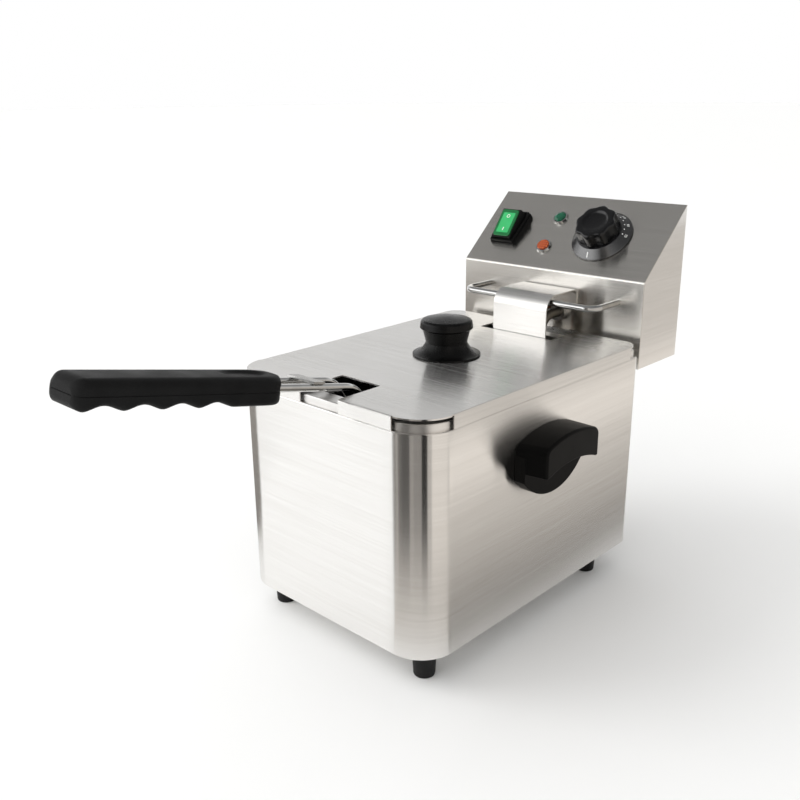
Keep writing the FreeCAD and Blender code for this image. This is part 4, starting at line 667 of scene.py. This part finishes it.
def gripSkin(x, y, z, half, upper):
    # the slight crown of the top, with the hollow for the thumb
    g = grip
    if not upper or z < g["top"] - g["topEdge"]:
        return z
    inside = 1 - ((y - g["thumbAt"]) / g["thumbLong"]) ** 2 - (x / g["thumbHalf"]) ** 2
    thumb = g["thumbDepth"] * min(1.0, max(0.0, inside) * g["thumbWall"])
    return z - g["crown"] * (x / half) ** 2 - thumb


def gripSection(y, upper):
    g = grip
    half = g["half"] - endCut(y, g["corner"], g["half"])
    reach = gripReach(y, upper)
    side = 1 if upper else -1
    edge = min(g["topEdge"] if upper else g["underEdge"], half, abs(reach - g["parting"]))
    arc = [radians(90 * i / g["arcSteps"]) for i in range(g["arcSteps"] + 1)]
    corner = [(half - edge + edge * cos(turn), reach - side * edge * (1 - sin(turn))) for turn in arc]
    across = [((half - edge) * (1 - i / g["flatSteps"]), reach) for i in range(1, 2 * g["flatSteps"])]
    seam = [(half - g["groove"], g["parting"]), (half, g["parting"] + side * g["groove"])]
    outline = seam + corner + across + [(-x, z) for x, z in reversed(seam + corner)]
    return [(x, y, gripSkin(x, y, z, half, upper)) for x, z in outline]


def sinkScrews(bm):
    # round recesses for the screw heads, from a patch of the underside that is drawn in to a circle
    g = grip
    seam = g["parting"] - g["groove"]
    for y in g["screws"]:
        patch = [face for face in bm.faces if face.calc_center_median().z < seam
                 and all(max(abs(v.co.x), abs(v.co.y - y)) < g["screwPatch"] for v in face.verts)]
        inside = set(patch)
        for v in {v for face in patch for v in face.verts}:
            if not inside.issuperset(v.link_faces):
                out = Vector((v.co.x, v.co.y - y)).normalized() * g["screwRecess"]
                v.co = (out.x, y + out.y, gripReach(y + out.y, False))
        sunk = bmesh.ops.extrude_face_region(bm, geom=patch)["geom"]
        for v in vertsOf(sunk):
            v.co.z = g["screwSeat"]
        bmesh.ops.delete(bm, geom=[face for face in patch if face.is_valid], context="FACES")


def makeGrip():
    for half in ("upper", "lower"):
        bm = loftRings([gripSection(y, half == "upper") for y in gripStations()])
        if half == "lower":
            sinkScrews(bm)
        finishPiece(bm, f"grip.{half}", f"grip_{half}", blackGrip, [f"grip_{half}"], place=onHandle())


basketNet = {"wire": 2.0, "pitch": 15.0, "sides": 10,
             "panels": {"floor": 2, "left": 0, "right": 0, "front": 1, "rear": 1}}


def makeBasketNet():
    # round wires both ways in each panel; the number beside a panel's name is the axis through it
    b = basketNet
    wire = b["wire"] * mm
    for name, through in b["panels"].items():
        low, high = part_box(f"basket_{name}")
        bm = bmesh.new()
        flat = [axis for axis in range(3) if axis != through]
        for along, across in (flat, flat[::-1]):
            span = high[across] - low[across] - wire
            count = max(1, round(span / (b["pitch"] * mm)))
            direction = Vector([float(axis == along) for axis in range(3)])
            turn = Vector((0, 0, 1)).rotation_difference(direction).to_matrix().to_4x4()
            for i in range(count + 1):
                middle = (low + high) / 2
                middle[across] = low[across] + wire / 2 + span * i / count
                bmesh.ops.create_cone(bm, cap_ends=True, segments=b["sides"], radius1=wire / 2,
                                      radius2=wire / 2, depth=high[along] - low[along],
                                      matrix=Matrix.Translation(middle) @ turn)
        finishPiece(bm, f"basketNet.{name}", f"basket_{name}", chrome, [f"basket_{name}"], inFrame=True)


def onPanel(x, up):
    # a place on the sloping panel: x across, y up the slope, z out of it
    lean = radians(panel["slope"])
    at = Matrix.Translation((x, panel["front"] + up * cos(lean), panel["bend"] + up * sin(lean)))
    return at @ Matrix.Rotation(lean, 4, "X")


def roundedBlock(bm, half, long, low, high, radius, edge):
    top = raiseFace(bm, roundedPlate(bm, half, -long, long, low, radius, radius, segments=6), high - low)
    bmesh.ops.recalc_face_normals(bm, faces=bm.faces)
    if edge:
        roundEdges(bm, [e for e in bm.edges if atHeight(e, high)], edge, segments=3)
    return top


switch = {"x": -57.5, "up": 36.0, "half": 12.0, "long": 17.0, "corner": 1.2, "flange": 2.2, "rim": 5.0,
          "step": 0.7, "wall": 1.3, "edge": 0.4, "body": 17.0, "bodyInset": 1.0, "pivot": 1.5,
          "tilt": 11.0, "rocker": 8.6, "lensHalf": 8.4, "lensLong": 12.56, "lens": 1.0, "lensRound": 2.6,
          "lensEdge": 0.45}
# the paler middle of its lens, and the two marks printed there
switchMarks = {"half": 5.9, "long": 9.4, "round": 0.5, "edge": 0.04, "sunk": 0.4, "proud": 0.06,
               "ink": 0.06, "inkAt": 0.05, "ring": (1.1, 1.6), "ringUp": 6.2, "bar": (0.7, 3.0),
               "barUp": -6.0}


def makeSwitch():
    s, m = switch, switchMarks
    onFrame = onPanel(s["x"], s["up"])
    bm = bmesh.new()
    top = roundedBlock(bm, s["half"], s["long"], 0, s["flange"], s["corner"], edge=0)
    bmesh.ops.inset_region(bm, faces=[top], thickness=s["step"], use_even_offset=True)
    top = raiseFace(bm, top, s["rim"] - s["flange"])
    bmesh.ops.inset_region(bm, faces=[top], thickness=s["wall"], use_even_offset=True)
    raiseFace(bm, top, -s["rim"])
    base = next(face for face in bm.faces if atHeight(face, 0) and face.normal.z < 0)
    bmesh.ops.inset_region(bm, faces=[base], thickness=s["bodyInset"], use_even_offset=True)
    raiseFace(bm, base, -s["body"])
    bmesh.ops.recalc_face_normals(bm, faces=bm.faces)
    shell = finishPiece(bm, "switchFrame", "switch_frame", blackNylon, ["switch_frame"], place=onFrame)
    breakEdges(shell, s["edge"])

    onRocker = onFrame @ Matrix.Translation((0, 0, s["pivot"]))
    onRocker = onRocker @ Matrix.Rotation(radians(s["tilt"]), 4, "X")
    face = s["rocker"] + s["lens"]
    bm = bmesh.new()
    roundedBlock(bm, s["lensHalf"], s["lensLong"], s["rocker"], face, s["lensRound"], s["lensEdge"])
    finishPiece(bm, "switchLens", "switch_window", switchEdge, ["switch_window"], place=onRocker)
    bm = bmesh.new()
    roundedBlock(bm, m["half"], m["long"], face - m["sunk"], face + m["proud"], m["round"], m["edge"])
    finishPiece(bm, "switchLensFace", "switch_window", switchFace, place=onRocker)

    inner, outer = m["ring"]
    ring = turned([(inner, 0), (outer, 0), (outer, m["ink"]), (inner, m["ink"]), (inner, 0)], steps=40)
    bmesh.ops.translate(ring, verts=ring.verts, vec=(0, m["ringUp"], face + m["inkAt"]))
    finishPiece(ring, "switchRing", "switch_window", whiteInk, place=onRocker)
    bm = bmesh.new()
    bmesh.ops.create_cube(bm, size=1.0)
    bmesh.ops.scale(bm, vec=(*m["bar"], m["ink"]), verts=bm.verts)
    bmesh.ops.translate(bm, verts=bm.verts, vec=(0, m["barUp"], face + m["inkAt"] + m["ink"] / 2))
    finishPiece(bm, "switchBar", "switch_window", whiteInk, place=onRocker)


# cut and rim are the last points of a profile: how far in from the lens's edge, and how far below its top
lamps = {"x": -16.5, "green": 52.8, "orange": 22.1, "lens": 5.2, "seat": 0.74, "edge": 2.7, "top": 3.6,
         "facets": 8, "cut": [(2.08, 0.1)], "rim": [(0.3, 0.4), (0.8, 0.15)]}


def makeLenses():
    # the green lens is cut in facets like a jewel, the orange one is flat
    c = lamps
    for name, end, steps, material, sharp in (("green", "cut", c["facets"], greenLens, 4),
                                              ("orange", "rim", 48, orangeLens, 32)):
        profile = [(0, c["seat"]), (c["lens"], c["seat"]), (c["lens"], c["edge"])]
        profile += [(c["lens"] - inward, c["top"] - down) for inward, down in c[end]] + [(0, c["top"])]
        finishPiece(turned(profile, steps), f"{name}Lens", f"{name}_lens", material, [f"{name}_lens"],
                    sharp=sharp, place=onPanel(c["x"], c[name]))


dial = {"x": 30.2, "up": 38.2, "low": 0.3, "hole": 3.2, "rim": [(24.5, 0.3), (24.8, 0.7), (24.8, 1.4)],
        "coneLow": (24.5, 1.8), "coneTop": (18.7, 6.5), "seatEdge": (18.4, 6.7), "lobes": 8, "sides": 160}
# the knob's rings from its foot to the middle of its dish: mean radius, depth of the lobes, height
knobRings = [(15.6, 0.6, 6.7), (15.7, 0.7, 7.4), (16.38, 0.8, 7.8), (16.2, 0.8, 15.6), (16.0, 0.8, 17.4),
             (15.5, 0.75, 18.5), (14.6, 0.5, 19.1), (13.3, 0.2, 19.2), (11.4, 0, 19.15), (10.5, 0, 18.9),
             (9.8, 0, 18.3), (8.6, 0, 17.6), (5.0, 0, 17.1), (1.0, 0, 17.0)]


def makeDial():
    d = dial
    place = onPanel(d["x"], d["up"])
    inside = (d["hole"], d["low"])
    profile = [inside] + d["rim"] + [d["coneLow"], d["coneTop"], d["seatEdge"]]
    skirt = turned(profile + [(d["hole"], d["seatEdge"][1]), inside], steps=96)
    finishPiece(skirt, "dialSkirt", "dial_skirt", blackSkirt, ["dial_skirt"], place=place)
    turns = [2 * pi * i / d["sides"] for i in range(d["sides"])]

    def lobedRing(radius, lobe, z):
        reaches = [(turn, radius + lobe * cos(d["lobes"] * turn)) for turn in turns]
        return [(reach * cos(turn), reach * sin(turn), z) for turn, reach in reaches]

    bm = loftRings([lobedRing(*ring) for ring in knobRings])
    finishPiece(bm, "thermostatKnob", "thermostat_knob", blackGloss, ["thermostat_knob"], sharp=60,
                place=place)


dialMarks = {"ink": 0.12, "values": (70, 90, 110, 130, 150, 170, 190), "first": 2.0, "step": 28.5,
             "height": 3.0, "at": 21.9, "dotAt": 19.7, "dot": 0.5, "bar": (0.9, 4.4), "barTurn": -93.0,
             "proud": 0.05}


def onCone(turn, reach):
    # a place on the dial's cone, its y axis running down it and its z axis standing off it
    (low, lowZ), (top, topZ) = dial["coneLow"], dial["coneTop"]
    fall = (topZ - lowZ) / (low - top)
    across = Vector((sin(turn), -cos(turn), 0))
    down = Vector((cos(turn), sin(turn), -fall)).normalized()
    off = across.cross(down)
    onLine = Vector((reach * cos(turn), reach * sin(turn), lowZ + (low - reach) * fall))
    axes = Matrix((across, down, off)).transposed().to_4x4()
    return Matrix.Translation(onLine + off * dialMarks["proud"]) @ axes


def printNumber(bm, words, height, place):
    curve = bpy.data.curves.new("number", "FONT")
    curve.body = words
    curve.size = height
    curve.align_x = "CENTER"
    curve.align_y = "CENTER"
    holder = addObject("number", curve)
    bpy.context.view_layer.update()
    drawn = holder.evaluated_get(bpy.context.evaluated_depsgraph_get())
    mesh = bpy.data.meshes.new_from_object(drawn)
    mesh.transform(place)
    bm.from_mesh(mesh)
    bpy.data.objects.remove(holder)
    bpy.data.curves.remove(curve)
    bpy.data.meshes.remove(mesh)


def makeDialMarks():
    m = dialMarks
    bm = bmesh.new()
    for i, value in enumerate(m["values"]):
        turn = radians(m["first"] + i * m["step"])
        printNumber(bm, str(value), m["height"], onCone(turn, m["at"]))
        for half in (0, 0.5):
            spot = onCone(turn + radians(half * m["step"]), m["dotAt"])
            bmesh.ops.create_circle(bm, cap_ends=True, segments=16, radius=m["dot"], matrix=spot)
    spot = onCone(radians(m["barTurn"]), m["at"]) @ Matrix.Diagonal((*m["bar"], 1, 1))
    bmesh.ops.create_grid(bm, x_segments=1, y_segments=1, size=0.5, matrix=spot)
    bmesh.ops.remove_doubles(bm, verts=bm.verts, dist=near)
    thicken(bm, m["ink"])
    finishPiece(bm, "dialMarks", "dial_skirt", whiteInk, place=onPanel(dial["x"], dial["up"]))


makeCasing()
makeTank()
makeLid()
makeLidKnob()
makeFeet()
makeHanger()
makeRods()
makeGrip()
makeBasketNet()
print("sheet metal, wire and turned pieces made")
makeSwitch()
makeLenses()
makeDial()
makeDialMarks()
print("panel pieces made")

# Pieces whose solids already have the right form
bevels = {"side_handle_left": 0.9, "side_handle_right": 0.9, "switch_rocker": 0.5, "terminal_block": 0.6}
ownMaterial = {"side_handle_left": blackHandle, "side_handle_right": blackHandle, "base_plate": steelTank,
               "head_casing": steelWrap, "head_rear_cover": steelPanel, "element_cover": steelCover}
replacedNodes = {item for piece in bpy.data.objects for item in piece.get("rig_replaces", [])}
for cadNode in frame["nodes"]:
    if cadNode not in replacedNodes:
        material = ownMaterial.get(cadNode, materialOfSlot[slotOf[cadNode]])
        smoothCopy(cadNode, material, bevels.get(cadNode, 0.0))
print("copies of the solids made")

camera = {"at": (417.23, -440.83, 362.32), "azimuth": 43.6, "elevation": 18.41, "roll": -0.58,
          "lens": 41.337, "sensor": 36.0, "clip": (0.01, 60.0)}


def makeCamera():
    c = camera
    azimuth, elevation, roll = (radians(c[word]) for word in ("azimuth", "elevation", "roll"))
    ahead = Vector((-sin(azimuth) * cos(elevation), cos(azimuth) * cos(elevation), -sin(elevation)))
    right = ahead.cross(Vector((0, 0, 1))).normalized()
    up = right.cross(ahead)
    tilted = cos(roll) * right + sin(roll) * up
    upward = -sin(roll) * right + cos(roll) * up
    lens = bpy.data.cameras.new("photoCamera")
    lens.lens = c["lens"]
    lens.sensor_width = c["sensor"]
    lens.clip_start, lens.clip_end = c["clip"]
    view = addObject("photoCamera", lens)
    view.matrix_world = Matrix((tilted, upward, -ahead)).transposed().to_4x4()
    view.location = Vector(c["at"]) * mm
    bpy.context.scene.camera = view


def addStage(name, bm, material):
    piece = addMesh(bm, name, material)
    return piece


paper = {"size": 60.0, "tone": "#f8f8f7", "rough": 0.7, "shine": 0.2}


def makeFloor():
    bm = bmesh.new()
    bmesh.ops.create_grid(bm, x_segments=1, y_segments=1, size=paper["size"] / 2)
    material, tree, shader = newMaterial("paperFloor")
    setInputs(tree, shader, {"Base Color": colour(paper["tone"]), "Roughness": paper["rough"],
                             "Specular IOR Level": paper["shine"]})
    addStage("studioFloor", bm, material)


softbox = {"power": 0.75, "from": (-0.72, -0.52, 0.7), "angle": 30.0}


def makeSoftbox():
    light = bpy.data.lights.new("leftSoftbox", "SUN")
    light.energy = softbox["power"]
    light.angle = radians(softbox["angle"])
    lamp = addObject("leftSoftbox", light)
    lamp.rotation_euler = (-Vector(softbox["from"])).to_track_quat("-Z", "Y").to_euler()
    lamp.visible_glossy = False


walls = {"fill": 0.98, "fillFrom": (-0.68, -0.74, 0), "fillTilt": 0.88, "low": 0.95, "lowAt": 0.24,
         "high": 0.26, "highAt": 0.66, "side": 0.4, "sideAt": -0.2, "screenFrom": (-0.66, -0.72, 0.2),
         "screenEdge": (0.82, 0.95), "screen": 1.0}


def makeWalls():
    # white walls that fill the shadows, brighter at the front left; metal sees them darker overhead and
    # to the right, with a lit screen at the front left
    w = walls
    world = bpy.data.worlds.new("studioWorld")
    world.use_nodes = True
    tree = world.node_tree
    tree.nodes.clear()
    ray = node(tree, "LightPath")
    where = node(tree, "TexCoord").outputs["Generated"]
    axes = node(tree, "SeparateXYZ", {0: where})
    fade = node(tree, "MapRange", {
        "Value": axes.outputs["Z"], "From Min": w["lowAt"], "From Max": w["highAt"],
        "To Min": w["low"], "To Max": w["high"]}, interpolation_type="SMOOTHSTEP")
    tilt = node(tree, "MapRange", {
        "Value": axes.outputs["X"], "From Min": w["sideAt"], "From Max": 1.0,
        "To Min": 1.0, "To Max": 1.0 - w["side"]})
    toScreen = node(tree, "VectorMath", {0: where, 1: Vector(w["screenFrom"]).normalized()},
                    operation="DOT_PRODUCT")
    screen = node(tree, "MapRange", {
        "Value": toScreen.outputs["Value"], "From Min": w["screenEdge"][0],
        "From Max": w["screenEdge"][1], "To Min": 0.0, "To Max": w["screen"]},
                  interpolation_type="SMOOTHSTEP")
    lit = node(tree, "Math", {0: fade.outputs[0], 1: tilt.outputs[0], 2: screen.outputs[0]},
               operation="MULTIPLY_ADD")
    toFill = node(tree, "VectorMath", {0: where, 1: Vector(w["fillFrom"]).normalized()},
                  operation="DOT_PRODUCT")
    soft = node(tree, "Math", {0: toFill.outputs["Value"], 1: w["fill"] * w["fillTilt"], 2: w["fill"]},
                operation="MULTIPLY_ADD")
    filled = node(tree, "Mix", {0: ray.outputs["Is Glossy Ray"], 2: soft.outputs[0], 3: lit.outputs[0]},
                  data_type="FLOAT")
    shown = node(tree, "Mix", {0: ray.outputs["Is Camera Ray"], 2: filled.outputs[0], 3: 1.0},
                 data_type="FLOAT")
    backdrop = node(tree, "Background", {"Color": (1, 1, 1, 1), "Strength": shown.outputs[0]})
    node(tree, "OutputWorld", {"Surface": backdrop.outputs[0]})
    bpy.context.scene.world = world


cardTint = "#fff8f0"  # warm, as the unlit side of a room


def cardAxes(tree):
    # a card's x, y and z
    place = node(tree, "TexCoord").outputs["Object"]
    return node(tree, "SeparateXYZ", {0: place}).outputs


def shiningCard(name, measure, stops, stepped, pale=None):
    # a card that shines by itself, its brightness read from stops between 0 and 1 along a measure
    material, tree, shader = newMaterial(name)
    ramp = node(tree, "ValToRGB", {"Fac": measure(tree)})
    ramp.color_ramp.interpolation = "CONSTANT" if stepped else "LINEAR"
    for i, (at, tone) in enumerate(stops):
        stop = ramp.color_ramp.elements[i] if i < 2 else ramp.color_ramp.elements.new(at)
        stop.position = at
        stop.color = colour(cardTint, tone)
    shown = ramp.outputs["Color"]
    if pale:
        shown = pale(tree, shown)
    setInputs(tree, shader, {
        "Base Color": (0, 0, 0, 1), "Roughness": 1.0, "Specular IOR Level": 0.0,
        "Emission Color": shown, "Emission Strength": 1.0})
    return material


def onlyMirrored(card):
    card.visible_camera = False
    card.visible_diffuse = False
    card.visible_shadow = False
    card.visible_transmission = False


# The unlit half of the room, which only mirrors see: a strip that runs round the casing's front right
# corner. Its tones are the turn in degrees from straight ahead and the brightness from there on, and it
# pales to the floor.
room = {"away": 80.0, "height": 420.0, "end": 120.4, "paleFrom": 104.0, "paleTo": 22.0, "pale": 0.56,
        "tones": [(-26.4, 0.2), (-16.8, 0.42), (-11.7, 0.12), (-1.4, 0.08), (16.3, 0.31), (25.6, 0.25),
                  (43.1, 0.01), (56.0, 0.5), (65.7, 0.78), (104.7, 0.66)]}


def makeRoom():
    r = room
    first = r["tones"][0][0]
    start, end = radians(first), radians(r["end"])
    bm = bmesh.new()
    at = Vector((sin(start), -cos(start), 0)) * r["away"] * mm
    rise = Vector((0, 0, r["height"] * mm))
    edge = bm.edges.new((bm.verts.new(at), bm.verts.new(at + rise)))
    bmesh.ops.spin(bm, geom=list(edge.verts) + [edge], cent=(0, 0, 0), axis=(0, 0, 1), angle=end - start,
                   steps=48)

    def turnRound(tree):
        axes = cardAxes(tree)
        back = node(tree, "Math", {0: axes["Y"], 1: -1.0}, operation="MULTIPLY")
        turn = node(tree, "Math", {0: axes["X"], 1: back.outputs[0]}, operation="ARCTAN2")
        return node(tree, "MapRange", {
            "Value": turn.outputs[0], "From Min": start, "From Max": end}).outputs[0]

    def paleBelow(tree, shown):
        share = node(tree, "MapRange", {
            "Value": cardAxes(tree)["Z"], "From Min": r["paleTo"] * mm, "From Max": r["paleFrom"] * mm,
            "To Min": 1.0, "To Max": 0.0}, interpolation_type="SMOOTHSTEP")
        return node(tree, "Mix", {0: share.outputs[0], 6: shown, 7: colour(cardTint, r["pale"])},
                    data_type="RGBA").outputs[2]

    stops = [((turn - first) / (r["end"] - first), tone) for turn, tone in r["tones"]]
    strip = addStage("roomStrip", bm, shiningCard("unlitRoom", turnRound, stops, True, paleBelow))
    strip.location = toFrame @ Vector((casing["half"] - casing["front"], casing["front"], 0))
    onlyMirrored(strip)


# Grey cards that stand beside the casing: the two ends of the foot as (x, y), and the brightness at some
# heights
greyCards = [
    {"name": "right", "from": (125, 46), "to": (125, 760),
     "tones": [(0, 0.18), (60, 0.5), (100, 0.64), (128, 0.92), (144, 0.89), (158, 0.62), (260, 0.61)]},
    {"name": "left", "from": (-200, -80), "to": (-200, 250), "tones": [(0, 0.26), (200, 0.32)]},
]


def makeGreyCards():
    for c in greyCards:
        bm = bmesh.new()
        start, end = (toFrame @ Vector((*c[word], 0)) for word in ("from", "to"))
        top = c["tones"][-1][0]
        rise = Vector((0, 0, top * mm))
        bm.faces.new([bm.verts.new(point) for point in (start, end, end + rise, start + rise)])

        def upward(tree, height=top):
            return node(tree, "MapRange", {
                "Value": cardAxes(tree)["Z"], "From Max": height * mm}).outputs[0]

        name = f"greyCard.{c['name']}"
        stops = [(height / top, tone) for height, tone in c["tones"]]
        onlyMirrored(addStage(name, bm, shiningCard(name, upward, stops, False)))


makeCamera()
makeFloor()
makeSoftbox()
makeWalls()
makeRoom()
makeGreyCards()
bpy.context.scene.view_settings.view_transform = "Standard"
print("camera and studio set")
